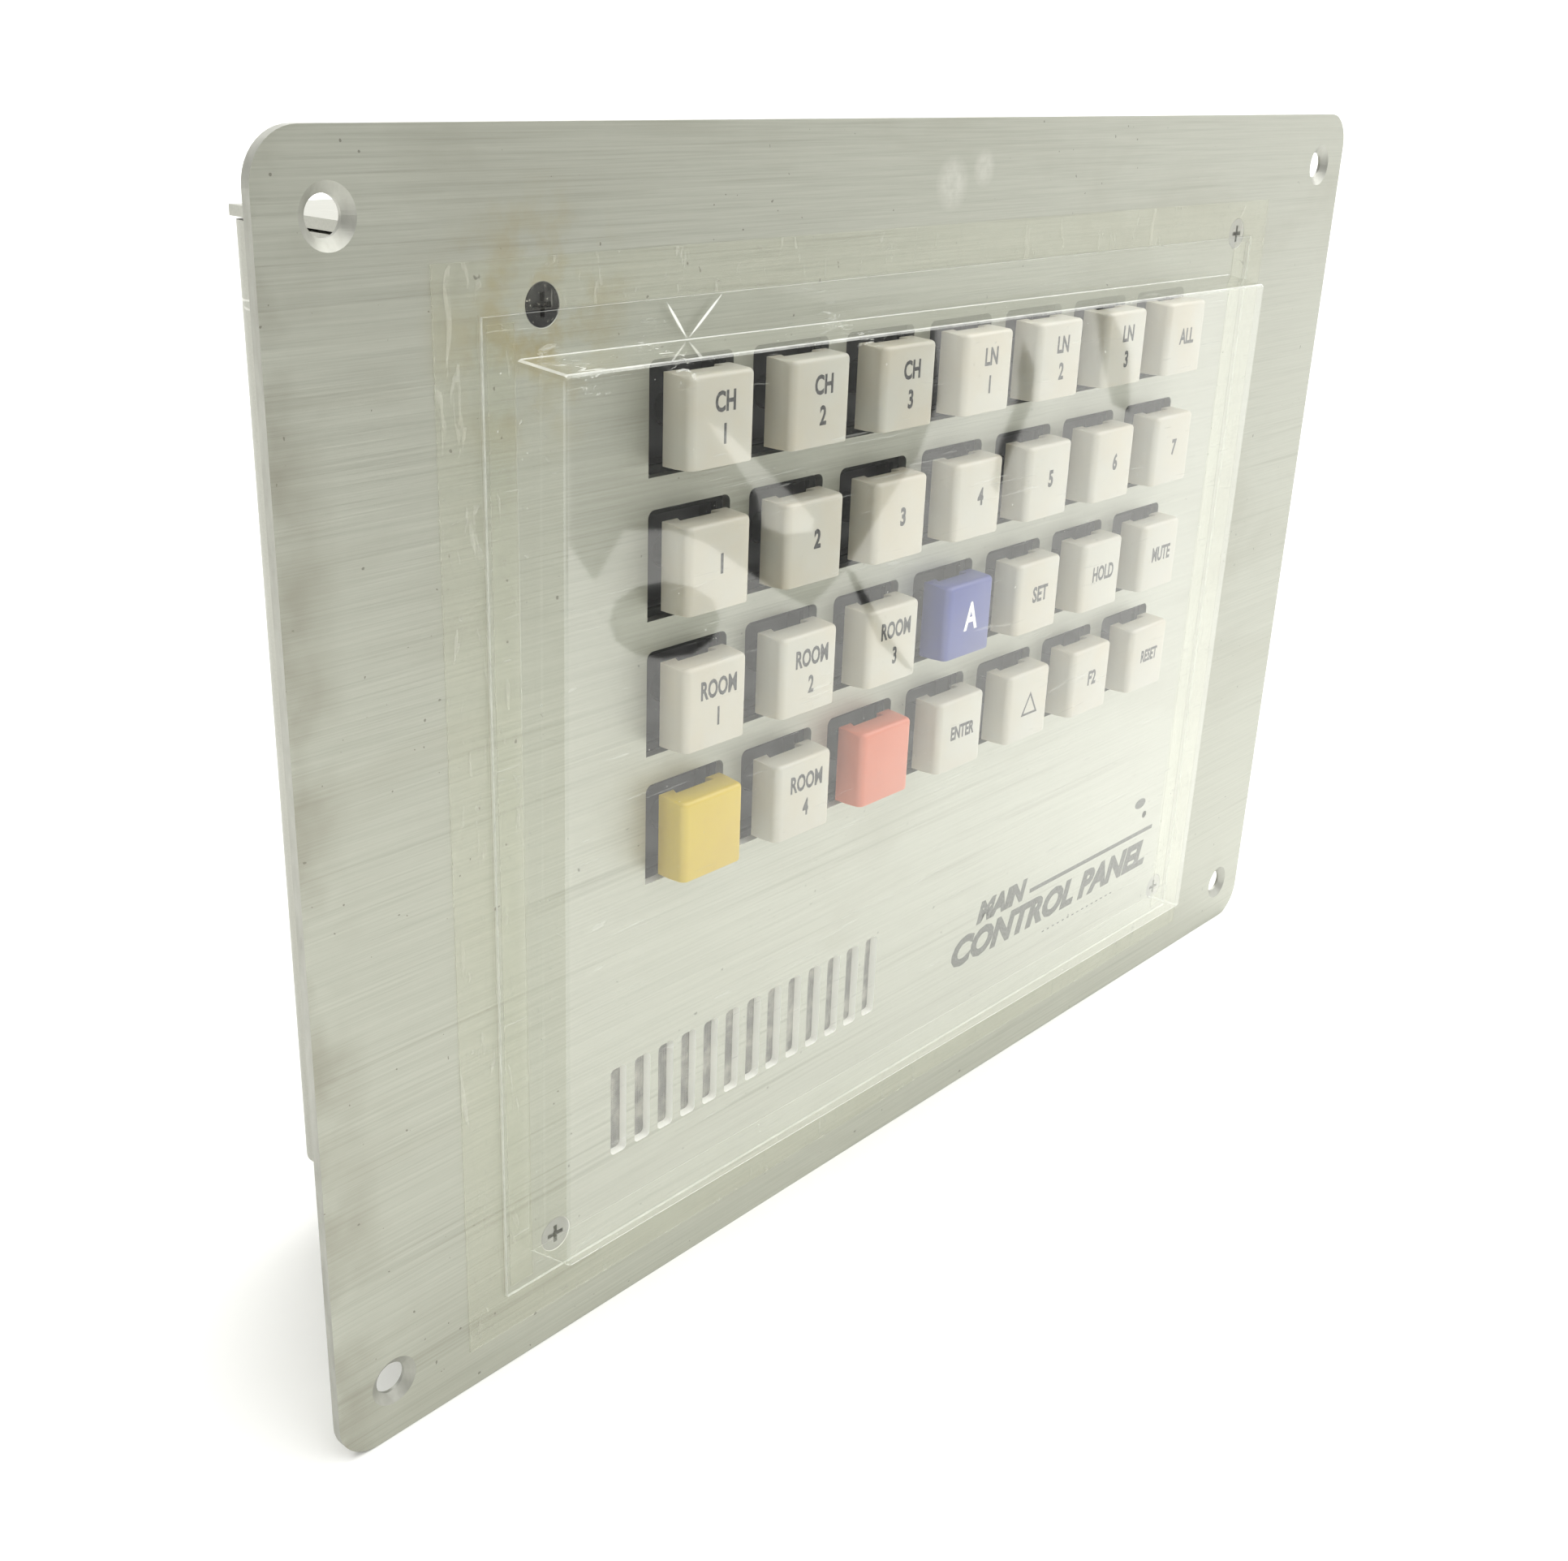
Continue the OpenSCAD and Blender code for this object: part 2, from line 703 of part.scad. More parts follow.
// A tab behind the panel that a panel screw goes through.
module chassis_tab(x, z0, z1) {
    block([x - tab_w / 2, 0, z0], [x + tab_w / 2, sheet_t, z1]);
}

// The separate top: two tabs behind the panel, the top wall, and a lip inside the back wall.
module chassis_top() {
    low = chassis_z - sheet_t;
    color([0.80, 0.80, 0.77]) difference() {
        union() {
            block([-chassis_x, 0, low], [chassis_x, chassis_depth - 0.6, chassis_z]);
            for (side = [-1, 1])
                chassis_tab(side * panel_screw_x, chassis_z - tab_h, chassis_z);
            block([-chassis_x + 2 * sheet_t, back_inner - sheet_t - fit_gap, low - top_lip_h],
                  [chassis_x - 2 * sheet_t, back_inner - fit_gap, chassis_z - sheet_t / 2]);
        }
        for (x = [-panel_screw_x, panel_screw_x])
            rod(x, panel_screw_zs[0], -overcut, sheet_t + overcut, thread_hole_d, thread_hole_d);
        for (x = top_screw_xs)
            rod(x, top_screw_z, back_inner - 2 * sheet_t, back_inner + overcut,
                thread_d + 2 * fit_gap, thread_d + 2 * fit_gap);
    }
}

// Pan-head screws from behind: four into the board spacers, three into the top's lip.
module chassis_screws() {
    color([0.75, 0.75, 0.73]) {
        for (p = control_points()) pan_head_screw(p[0], p[1], chassis_depth, 5);
        for (x = top_screw_xs) pan_head_screw(x, top_screw_z, chassis_depth, 5);
    }
}

// ---- film cover ----

// The raised part of the cover, made smaller all round by inset, with sloping sides.
module cover_bubble(inset, front, back) {
    w = cover_w / 2 - inset;
    h = cover_h / 2 - inset;
    slope = cover_draft * (back - front) / cover_rise;
    translate([cover_x, 0, cover_z]) rotate([0, cover_turn, 0]) intersection() {
        along_x(-cover_w, cover_w)
            polygon([[front, -h], [front, h], [back, h + slope], [back, -h - slope]]);
        along_z(-cover_h, cover_h)
            polygon([[-w, front], [w, front], [w + slope, back], [-w - slope, back]]);
    }
}

module protective_cover() {
    flange_back = plate_front - tape_t;
    flange_front = flange_back - film_t;
    front = plate_front - cover_rise;
    color([0.92, 0.94, 0.90, 0.25]) difference() {
        union() {
            block([flange_left, flange_front, flange_bottom], [flange_right, flange_back, flange_top]);
            cover_bubble(0, front, flange_front + film_t / 2);
        }
        cover_bubble(film_t, front + film_t, flange_back + overcut);
    }
}

// Clear strips round the flange and, under it, the strips that hold it to the panel.
module cover_tape() {
    back = plate_front;
    front = back - tape_t;
    strip_w = 4.3;
    color([0.90, 0.88, 0.70, 0.5]) {
        difference() {
            block([tape_left, front, tape_bottom], [tape_right, back, tape_top]);
            block([flange_left - tape_overlap_gap, front - overcut, flange_bottom - tape_overlap_gap],
                  [flange_right + tape_overlap_gap, back + overcut, flange_top + tape_overlap_gap]);
        }
        for (x = [flange_left + 1, flange_right - 1 - strip_w])
            block([x, front, flange_bottom + 1], [x + strip_w, back, flange_top - 1]);
    }
}

protective_cover();
cover_tape();
front_plate();
panel_studs();
panel_screws();
panel_nuts();
key_mask();
switch_housings();
return_springs();
key_board();
key_board_spacers();
speaker_cloth();
speaker_basket();
speaker_magnet();
speaker_cone();
speaker_surround();
speaker_clips();
mic_grommet();
microphone();
control_board();
control_board_spacers();
control_board_screws();
logic_chips();
capacitors();
audio_transformer();
board_headers();
ribbon_cable();
terminal_block();
terminal_screws();
rear_chassis();
chassis_top();
chassis_screws();
for (row = [1:key_rows], col = [1:key_cols])
    key(row, col);
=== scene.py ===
import json
import math

import bmesh
import bpy
from mathutils import Matrix, Vector

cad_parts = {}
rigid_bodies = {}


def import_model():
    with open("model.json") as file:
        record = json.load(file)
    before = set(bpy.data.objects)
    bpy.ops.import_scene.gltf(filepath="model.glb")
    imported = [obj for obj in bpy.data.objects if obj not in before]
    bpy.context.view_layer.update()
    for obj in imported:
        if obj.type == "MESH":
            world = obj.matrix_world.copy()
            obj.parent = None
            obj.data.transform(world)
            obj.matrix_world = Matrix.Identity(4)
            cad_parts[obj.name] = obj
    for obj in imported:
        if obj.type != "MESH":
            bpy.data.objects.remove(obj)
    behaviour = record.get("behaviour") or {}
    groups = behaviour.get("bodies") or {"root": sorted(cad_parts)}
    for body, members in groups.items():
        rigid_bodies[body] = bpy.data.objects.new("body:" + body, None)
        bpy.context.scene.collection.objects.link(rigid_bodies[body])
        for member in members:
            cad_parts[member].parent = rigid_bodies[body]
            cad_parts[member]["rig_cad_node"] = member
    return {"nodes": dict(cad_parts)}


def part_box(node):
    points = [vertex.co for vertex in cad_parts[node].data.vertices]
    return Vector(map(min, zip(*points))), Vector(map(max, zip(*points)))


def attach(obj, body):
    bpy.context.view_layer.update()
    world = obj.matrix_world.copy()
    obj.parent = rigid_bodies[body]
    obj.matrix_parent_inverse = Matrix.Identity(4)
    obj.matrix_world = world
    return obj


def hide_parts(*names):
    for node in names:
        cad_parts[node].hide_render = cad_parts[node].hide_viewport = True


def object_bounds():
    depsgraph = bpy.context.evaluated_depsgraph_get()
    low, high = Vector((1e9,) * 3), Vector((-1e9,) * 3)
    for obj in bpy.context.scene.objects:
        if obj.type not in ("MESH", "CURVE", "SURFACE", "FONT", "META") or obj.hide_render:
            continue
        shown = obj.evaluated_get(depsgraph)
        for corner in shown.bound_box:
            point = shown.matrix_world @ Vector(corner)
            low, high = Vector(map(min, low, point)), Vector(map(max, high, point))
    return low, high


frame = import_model()
cad_low, cad_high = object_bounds()

MM = 0.001
PLATE_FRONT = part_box("front_plate")[0].y
KEY_LOW, KEY_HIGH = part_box("key_row1_col1")
CAP_SIZE = KEY_HIGH.x - KEY_LOW.x
CAP_FRONT = KEY_LOW.y
CAP_BACK = PLATE_FRONT - 0.85 * MM
CAP_WALL = 1.3 * MM
NOTCH_DEPTH = 1.2 * MM
STEM_BACK = KEY_HIGH.y
STEM_RADIUS = 2.3 * MM

COVER_LOW, COVER_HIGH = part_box("protective_cover")
COVER_WIDTH = 175.5 * MM
COVER_HEIGHT = 130 * MM
COVER_X = -3.7 * MM
COVER_Z = -4.9 * MM
COVER_SLOPE = 0.85 * MM
COVER_TURN = -0.4
FILM_THICK = 0.5 * MM
CUT_EDGE = 0.45 * MM

TAPE_LOW, TAPE_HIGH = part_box("cover_tape")
TAPE_BORDER = 6.3 * MM
TAPE_EDGE = 0.12 * MM
STRIP_WIDTH = 4.3 * MM
STRIP_INSET = 3.15 * MM

LEGEND_LIFT = 0.006 * MM
PRINT_LIFT = 0.012 * MM
PRINT_SLANT = 0.28

FLOOR_SIZE = 24
FLOOR_GAP = 0.1 * MM
SUN_TILT = (math.radians(16), math.radians(12), 0)
SUN_POWER = 3.8
SUN_SPREAD = math.radians(95)
ROOM_SHADE = (0.20, 0.20, 0.19, 1)
ROOM_LIGHT = (1.0, 1.0, 0.98, 1)
ROOM_POWER = 1.38


# ---- camera, floor and light ----

def add_camera():
    bpy.ops.object.camera_add(location=(-0.23709, -0.17378, 0.09935))
    camera = bpy.context.object
    right = Vector((0.66567, -0.74533, 0.03698))
    up = Vector((0.26240, 0.28017, 0.92339))
    back = right.cross(up)
    camera.rotation_euler = Matrix((right, up, back)).transposed().to_euler()
    camera.data.lens = 41.33
    camera.data.sensor_width = 36
    camera.data.clip_start = 0.01
    camera.data.clip_end = 60
    bpy.context.scene.camera = camera


def add_card(name, outline, lift, card_paint):
    """A flat card on the floor that only mirrors see."""
    bpy.ops.mesh.primitive_circle_add(vertices=len(outline), radius=1, fill_type="NGON",
                                      location=(0, 0, cad_low.z + lift * MM))
    card = bpy.context.object
    card.name = "card_" + name
    for vertex, (x, y) in zip(card.data.vertices, outline):
        vertex.co = (x, y, 0)
    card.visible_camera = False
    card.visible_shadow = False
    card.visible_diffuse = False
    paint(card, card_paint)


def add_studio():
    bpy.ops.mesh.primitive_plane_add(size=FLOOR_SIZE, location=(0, 0, cad_low.z - FLOOR_GAP))
    floor = bpy.context.object
    floor.name = "studio_floor"
    paint(floor, matt_paint("white_floor", (0.90, 0.90, 0.88)))

    # Cards in front of the panel, which it and its film mirror. Places are in metres.
    far_floor = ((-0.90, -0.42), (0.26, -0.42), (0.467, -0.636), (0.80, -0.636), (1.30, -3.0), (-0.90, -3.0))
    room = ((0.467, -0.636), (0.527, -0.635), (0.714, -0.634), (0.800, -0.623), (0.583, -0.454), (0.460, -0.374),
            (0.407, -0.344), (0.283, -0.272), (0.256, -0.259), (0.236, -0.250), (0.241, -0.268), (0.248, -0.285),
            (0.270, -0.335), (0.274, -0.360), (0.260, -0.372), (0.202, -0.326), (0.222, -0.358), (0.229, -0.370))
    tongue = ((0.435, -0.497), (0.423, -0.471), (0.345, -0.351), (0.330, -0.330), (0.314, -0.317), (0.302, -0.322),
              (0.305, -0.337), (0.342, -0.375))
    lens = ((0.202, -0.262), (0.184, -0.248), (0.168, -0.242), (0.158, -0.245), (0.155, -0.255), (0.160, -0.270),
            (0.173, -0.287), (0.191, -0.303), (0.208, -0.311), (0.221, -0.309), (0.224, -0.297), (0.217, -0.280))
    band = ((0.804, -0.548), (0.719, -0.480), (0.616, -0.412), (0.498, -0.344), (0.430, -0.303), (0.442, -0.315),
            (0.511, -0.360), (0.633, -0.433), (0.724, -0.496))
    leaf = ((1.003, -0.621), (0.972, -0.585), (0.817, -0.472), (0.640, -0.362), (0.655, -0.383), (0.770, -0.463))
    sliver = ((0.283, -0.272), (0.283, -0.268), (0.233, -0.210), (0.209, -0.180), (0.209, -0.183), (0.223, -0.206))
    dark, grey, pale = (matt_paint(name, (level, level, level * 0.97))
                        for name, level in (("dark_card", 0.02), ("grey_card", 0.14), ("pale_card", 0.90)))
    for name, outline, lift, card_paint in (("far_floor", far_floor, 0.2, grey), ("room", room, 0.4, dark),
                                            ("tongue", tongue, 0.6, pale), ("lens", lens, 0.4, dark),
                                            ("band", band, 0.4, dark), ("leaf", leaf, 0.4, dark),
                                            ("sliver", sliver, 0.6, dark)):
        add_card(name, outline, lift, card_paint)

    bpy.ops.object.light_add(type="SUN", location=(0, 0, 2))
    overhead = bpy.context.object
    overhead.name = "overhead_softbox"
    overhead.rotation_euler = SUN_TILT
    overhead.data.energy = SUN_POWER
    overhead.data.angle = SUN_SPREAD

    world = bpy.data.worlds.new("pale_room")
    bpy.context.scene.world = world
    world.use_nodes = True
    nodes = world.node_tree.nodes
    direction = nodes.new("ShaderNodeTexCoord").outputs["Generated"]
    split = nodes.new("ShaderNodeSeparateXYZ")
    ramp = nodes.new("ShaderNodeValToRGB")
    across = nodes.new("ShaderNodeMath")
    across.operation = "ADD"
    links = world.node_tree.links
    links.new(direction, split.inputs[0])
    links.new(split.outputs["X"], across.inputs[0])
    links.new(split.outputs["Y"], across.inputs[1])
    links.new(across.outputs[0], ramp.inputs["Fac"])
    ramp.color_ramp.elements[0].position = 0.0
    ramp.color_ramp.elements[0].color = ROOM_SHADE
    ramp.color_ramp.elements[1].position = 0.5
    ramp.color_ramp.elements[1].color = ROOM_LIGHT
    links.new(ramp.outputs["Color"], nodes["Background"].inputs["Color"])
    nodes["Background"].inputs["Strength"].default_value = ROOM_POWER
    bpy.context.scene.view_settings.view_transform = "Standard"


# ---- helpers for finishes ----

class Finish:
    """A node material, with short names for the nodes that the finishes are made of."""

    def __init__(self, name):
        self.material = bpy.data.materials.new(name)
        self.material.use_nodes = True
        self.tree = self.material.node_tree
        self.tree.nodes.clear()
        self.place = self.add("ShaderNodeTexCoord").outputs["Object"]

    def add(self, kind, settings=None, **inputs):
        node = self.tree.nodes.new(kind)
        for key, value in (settings or {}).items():
            setattr(node, key, value)
        for key, value in inputs.items():
            self.set(node, key.replace("_", " "), value)
        return node

    def set(self, node, key, value):
        socket = node.inputs[int(key)] if key.isdigit() else node.inputs[key]
        if isinstance(value, bpy.types.NodeSocket):
            self.tree.links.new(value, socket)
        elif isinstance(value, tuple) and len(value) == 3 and socket.type == "RGBA":
            socket.default_value = (*value, 1)
        else:
            socket.default_value = value

    def scaled(self, scale, centre=(0, 0, 0), turn=(0, 0, 0)):
        """Object coordinates moved to a centre, turned and stretched."""
        moved = self.add("ShaderNodeMapping", {"vector_type": "TEXTURE"}, Vector=self.place,
                         Location=centre, Rotation=turn)
        return self.add("ShaderNodeMapping", Vector=moved.outputs[0], Scale=scale).outputs[0]

    def noise(self, scale, detail=3, roughness=0.55, distortion=0.0, stretch=None):
        place = self.scaled(stretch) if stretch else self.place
        return self.add("ShaderNodeTexNoise", Vector=place, Scale=scale, Detail=detail,
                        Roughness=roughness, Distortion=distortion).outputs["Fac"]

    def cells(self, scale):
        return self.add("ShaderNodeTexVoronoi", Vector=self.place, Scale=scale).outputs["Distance"]

    def bands(self, scale, direction="X", distortion=0.0):
        return self.add("ShaderNodeTexWave", {"bands_direction": direction}, Vector=self.place,
                        Scale=scale, Distortion=distortion).outputs["Fac"]

    def ramp(self, value, *stops):
        ramp = self.add("ShaderNodeValToRGB", Fac=value)
        points = ramp.color_ramp.elements
        while len(points) < len(stops):
            points.new(0.5)
        for point, (at, level) in zip(points, stops):
            point.position = at
            point.color = (level, level, level, 1) if isinstance(level, (int, float)) else (*level, 1)
        return ramp.outputs["Color"]

    def math(self, operation, a, b=0.5):
        return self.add("ShaderNodeMath", {"operation": operation}, **{"0": a, "1": b}).outputs[0]

    def blend(self, share, first, second, how="MIX"):
        mix = self.add("ShaderNodeMix", {"data_type": "RGBA", "blend_type": how})
        self.set(mix, "0", share)
        self.set(mix, "6", first)
        self.set(mix, "7", second)
        return mix.outputs[2]

    def spot(self, centre, radius, soft=0.3):
        """1 inside a round spot in the panel's plane and 0 outside it."""
        place = self.scaled((1, 0, 1), centre)
        far = self.add("ShaderNodeVectorMath", {"operation": "LENGTH"}, **{"0": place})
        return self.ramp(self.math("DIVIDE", far.outputs["Value"], radius * 2),
                         (0.5 * (1 - soft), 1.0), (0.5 * (1 + soft), 0.0))

    def along(self, axis, low, high):
        """Rises from 0 to 1 between two places along an axis."""
        split = self.add("ShaderNodeSeparateXYZ", **{"0": self.place})
        return self.add("ShaderNodeMapRange", Value=split.outputs[axis], **{"1": low, "2": high}).outputs[0]

    def cut_faces(self):
        """1 on faces that don't look along Y: a sheet's edges, the walls of its openings and countersinks."""
        facing = self.add("ShaderNodeTexCoord").outputs["Normal"]
        split = self.add("ShaderNodeSeparateXYZ", **{"0": facing})
        return self.ramp(self.math("ABSOLUTE", split.outputs["Y"]), (0.80, 1.0), (0.92, 0.0))

    def bump(self, height, distance, strength=1.0, normal=None):
        node = self.add("ShaderNodeBump", Height=height, Distance=distance, Strength=strength)
        if normal is not None:
            self.set(node, "Normal", normal)
        return node.outputs["Normal"]

    def shader(self, **inputs):
        return self.add("ShaderNodeBsdfPrincipled", **inputs).outputs[0]

    def finish(self, shader):
        self.tree.links.new(shader, self.add("ShaderNodeOutputMaterial").inputs["Surface"])
        return self.material


def paint(piece, *materials):
    """Gives the piece these materials and no others. A CAD node keeps its slots, all with the first one."""
    if "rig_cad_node" in piece and piece.data.materials:
        for slot in piece.material_slots:
            slot.material = materials[0]
        return
    piece.data.materials.clear()
    for material in materials:
        piece.data.materials.append(material)


# ---- finishes ----

def matt_paint(name, colour):
    f = Finish(name)
    grain = f.noise(14, 2)
    return f.finish(f.shader(Base_Color=f.blend(grain, colour, tuple(c * 0.985 for c in colour)),
                             Roughness=0.85, Normal=f.bump(grain, 0.00005)))


def brushed_panel():
    """Satin sheet brushed along X, with smears, handling marks, dark specks and worn spots, and painted light:
    pale walls in the key slots and a lighter right side.
    """
    f = Finish("brushed_panel")
    streaks = f.noise(1, 5, 0.7, stretch=(32, 500, 2600))
    fine = f.noise(1, 4, 0.75, stretch=(60, 900, 5200))
    smear = f.noise(16, 4, 0.6, 0.8, stretch=(1, 1, 2.4))
    cloud = f.noise(7, 3, 0.5)
    colour = f.blend(f.ramp(streaks, (0.30, 0.0), (0.70, 1.0)), (0.355, 0.362, 0.308), (0.452, 0.460, 0.398))
    colour = f.blend(f.ramp(fine, (0.35, 0.0), (0.70, 0.5)), colour, (0.50, 0.505, 0.44))
    colour = f.blend(f.ramp(smear, (0.52, 0.0), (0.74, 0.38)), colour, (0.300, 0.292, 0.232))
    colour = f.blend(f.ramp(cloud, (0.40, 0.0), (0.75, 0.22)), colour, (0.52, 0.53, 0.47))
    lines = f.ramp(f.noise(1, 3, 0.6, stretch=(9, 200, 620)), (0.60, 0.0), (0.72, 0.5))
    lines = f.math("MULTIPLY", lines, f.ramp(cloud, (0.4, 0.2), (0.6, 1.0)))
    colour = f.blend(lines, colour, (0.27, 0.268, 0.22))
    specks = f.ramp(f.noise(900, 1, 0.5), (0.785, 0.0), (0.80, 0.7))
    colour = f.blend(specks, colour, (0.16, 0.155, 0.13))
    edge_dirt = f.math("MULTIPLY", f.along("X", -0.118, -0.127), f.ramp(f.noise(70, 3), (0.4, 0.0), (0.7, 0.7)))
    colour = f.blend(edge_dirt, colour, (0.22, 0.205, 0.155))
    for centre, radius in (((-0.0045, 0, 0.0795), 0.0032), ((0.0035, 0, 0.0815), 0.0022)):
        patchy = f.ramp(f.noise(600, 3), (0.3, 0.25), (0.7, 0.7))
        ring = f.math("MULTIPLY", f.spot(centre, radius, 0.35), patchy)
        colour = f.blend(ring, colour, (0.62, 0.62, 0.56))
    blotches = f.ramp(f.noise(160, 4), (0.42, 0.0), (0.62, 0.8))
    stain = f.math("MULTIPLY", f.spot((-0.088, 0, 0.0655), 0.011, 0.7), blotches)
    colour = f.blend(stain, colour, (0.36, 0.315, 0.18))
    colour = f.blend(f.cut_faces(), colour, f.blend(f.noise(1, 3, 0.6, stretch=(500, 500, 120)),
                                                    (0.26, 0.26, 0.225), (0.50, 0.50, 0.46)))
    # Painted highlight: the walls of the key slots are made pale and less metallic, as if catching the light.
    slot_wall_highlight = f.math("MULTIPLY", f.cut_faces(), f.spot((-0.0434, 0, -0.0540), 0.050, 0.1))
    colour = f.blend(slot_wall_highlight, colour, (0.90, 0.90, 0.85))
    # Painted light: the panel's colour is made lighter towards its right side, where it mirrors the bright floor.
    colour = f.blend(f.math("MULTIPLY", f.along("X", -0.07, 0.125), 0.16), colour, (0.80, 0.81, 0.76))
    rough = f.ramp(streaks, (0.2, 0.40), (0.8, 0.50))
    normal = f.bump(streaks, 0.00004, 0.55, f.bump(fine, 0.000012, 0.6))
    metal = f.math("SUBTRACT", 0.85, f.math("MULTIPLY", slot_wall_highlight, 0.75))
    return f.finish(f.shader(Base_Color=colour, Metallic=metal, Roughness=rough, Normal=normal))


def key_plastic(name, colour, warm):
    """Waxy moulding, yellower and a little darker towards its back, with grime in its pores."""
    f = Finish(name)
    tone = f.noise(90, 3)
    base = f.blend(f.ramp(tone, (0.35, 0.0), (0.70, 0.6)), colour, warm)
    # Yellower and a little darker towards the back of the cap.
    base = f.blend(f.math("MULTIPLY", f.along("Y", -0.0045, 0.0005), 0.55), base, warm)
    grime = f.ramp(f.noise(1500, 2), (0.70, 0.0), (0.78, 0.30))
    base = f.blend(grime, base, tuple(c * 0.35 for c in warm))
    normal = f.bump(f.noise(2600, 2), 0.000008, 0.5, f.bump(f.noise(160, 2), 0.00006, 0.35))
    return f.finish(f.shader(Base_Color=base, Roughness=0.36, Subsurface_Weight=0.12,
                             Subsurface_Radius=(0.0022, 0.0016, 0.0009), Subsurface_Scale=0.5,
                             Coat_Weight=0.12, Coat_Roughness=0.25, Normal=normal))


def printed_ink(name, colour):
    f = Finish(name)
    patchy = f.ramp(f.noise(2400, 3), (0.35, 0.0), (0.75, 0.5))
    return f.finish(f.shader(Base_Color=f.blend(patchy, colour, tuple(min(1, c * 2 + 0.12) for c in colour)),
                             Roughness=0.6, Normal=f.bump(f.noise(4000, 2), 0.000006)))


def black_mask():
    """Textured black sheet with white dust on it."""
    f = Finish("black_mask")
    dust = f.ramp(f.noise(1900, 2, 0.5), (0.70, 0.0), (0.73, 1.0))
    fluff = f.ramp(f.noise(420, 4, 0.7), (0.68, 0.0), (0.74, 0.35))
    base = f.blend(f.noise(140, 3), (0.010, 0.011, 0.010), (0.024, 0.025, 0.023))
    base = f.blend(fluff, base, (0.20, 0.20, 0.18))
    base = f.blend(dust, base, (0.62, 0.62, 0.58))
    normal = f.bump(f.cells(2600), 0.00004, 0.7)
    return f.finish(f.shader(Base_Color=base, Roughness=0.85, Specular_IOR_Level=0.2, Normal=normal))


def see_through(f, colour, index, roughness, normal, gain=1.9):
    """Clear where it is looked through, and glossy by Fresnel on the face that is met from outside."""
    behind = f.add("ShaderNodeNewGeometry").outputs["Backfacing"]
    outside = f.math("MULTIPLY", f.math("SUBTRACT", 1.0, behind), gain)
    fresnel = f.add("ShaderNodeFresnel", IOR=index, Normal=normal)
    gloss = f.add("ShaderNodeBsdfGlossy", Color=(1, 1, 0.98), Roughness=roughness, Normal=normal)
    clear = f.add("ShaderNodeBsdfTransparent", Color=colour)
    return f.add("ShaderNodeMixShader", **{"0": f.math("MULTIPLY", fresnel.outputs[0], outside),
                                           "1": clear.outputs[0], "2": gloss.outputs[0]}).outputs[0]


def clear_film():
    """Thermoformed film: clear and glossy, gently uneven, with haze, fine scratches, nicks and dust."""
    f = Finish("clear_film")
    waves = f.noise(9, 0, 0.4)
    scratches = f.ramp(f.noise(1, 2, 0.4, 2.0, stretch=(45, 400, 900)), (0.69, 0.0), (0.72, 1.0))
    normal = f.bump(waves, 0.0012, 0.8)
    flange = f.along("Y", COVER_HIGH.y - 1.0 * MM, COVER_HIGH.y - 0.6 * MM)
    gain = f.math("SUBTRACT", 1.9, f.math("MULTIPLY", flange, 1.4))
    skin = see_through(f, (0.992, 0.995, 0.985), 1.5, 0.03, normal, gain)
    speck = f.ramp(f.noise(1300, 2), (0.735, 0.0), (0.76, 0.5))
    cloud = f.ramp(f.noise(22, 4, 0.6), (0.35, 0.004), (0.75, 0.024))
    haze = f.math("ADD", f.math("ADD", speck, f.math("MULTIPLY", scratches, 0.12)), cloud)
    ragged = f.ramp(f.noise(1, 3, 0.7, 1.0, stretch=(260, 900, 900)), (0.56, 0.0), (0.64, 0.7))
    for centre, radius in (((-0.0865, 0, 0.0600), 0.0022), ((-0.0700, 0, 0.0608), 0.0026),
                           ((-0.0330, 0, 0.0605), 0.0022)):
        haze = f.math("ADD", haze, f.math("MULTIPLY", f.spot(centre, radius, 0.8), ragged))
    for centre, turn, length in (((-0.0642, 0, 0.0640), 52, 0.0036), ((-0.0588, 0, 0.0642), -40, 0.0048)):
        line = f.scaled((1 / length, 0, 1 / 0.00028), centre, (0, math.radians(turn), 0))
        far = f.add("ShaderNodeVectorMath", {"operation": "LENGTH"}, **{"0": line}).outputs["Value"]
        haze = f.math("ADD", haze, f.ramp(far, (0.60, 0.9), (0.95, 0.0)))
    dust = f.shader(Base_Color=(0.86, 0.87, 0.81), Roughness=0.5)
    film = f.add("ShaderNodeMixShader", **{"0": haze, "1": skin, "2": dust})
    return f.finish(film.outputs[0])


def film_fold():
    """The film's folds and cut edges, with a painted highlight: white where they face up, down or right, and
    clearer elsewhere.
    """
    f = Finish("film_fold")
    facing = f.add("ShaderNodeSeparateXYZ", **{"0": f.add("ShaderNodeTexCoord").outputs["Normal"]})
    # Painted highlight: folds that face up, down or right are mixed towards white.
    upward = f.math("ABSOLUTE", facing.outputs["Z"])
    towards = f.math("ADD", upward, f.math("MULTIPLY", facing.outputs["X"], 0.6))
    lit = f.ramp(towards, (0.10, 0.06), (0.60, 0.60))
    # The flange's cut edge gets the painted highlight too.
    cut_edge = f.along("Y", COVER_HIGH.y - 0.49 * MM, COVER_HIGH.y - 0.45 * MM)
    lit = f.math("MAXIMUM", lit, f.math("MULTIPLY", cut_edge, 0.62))
    uneven = f.math("MULTIPLY", lit, f.ramp(f.noise(260, 3, 0.6), (0.30, 0.6), (0.70, 1.0)))
    relief = f.bump(f.noise(500, 2), 0.00002)
    skin = see_through(f, (0.97, 0.98, 0.96), 1.5, 0.12, relief)
    white = f.shader(Base_Color=(0.90, 0.91, 0.86), Roughness=0.25, Normal=relief)
    fold = f.add("ShaderNodeMixShader", **{"0": uneven, "1": skin, "2": white})
    return f.finish(fold.outputs[0])


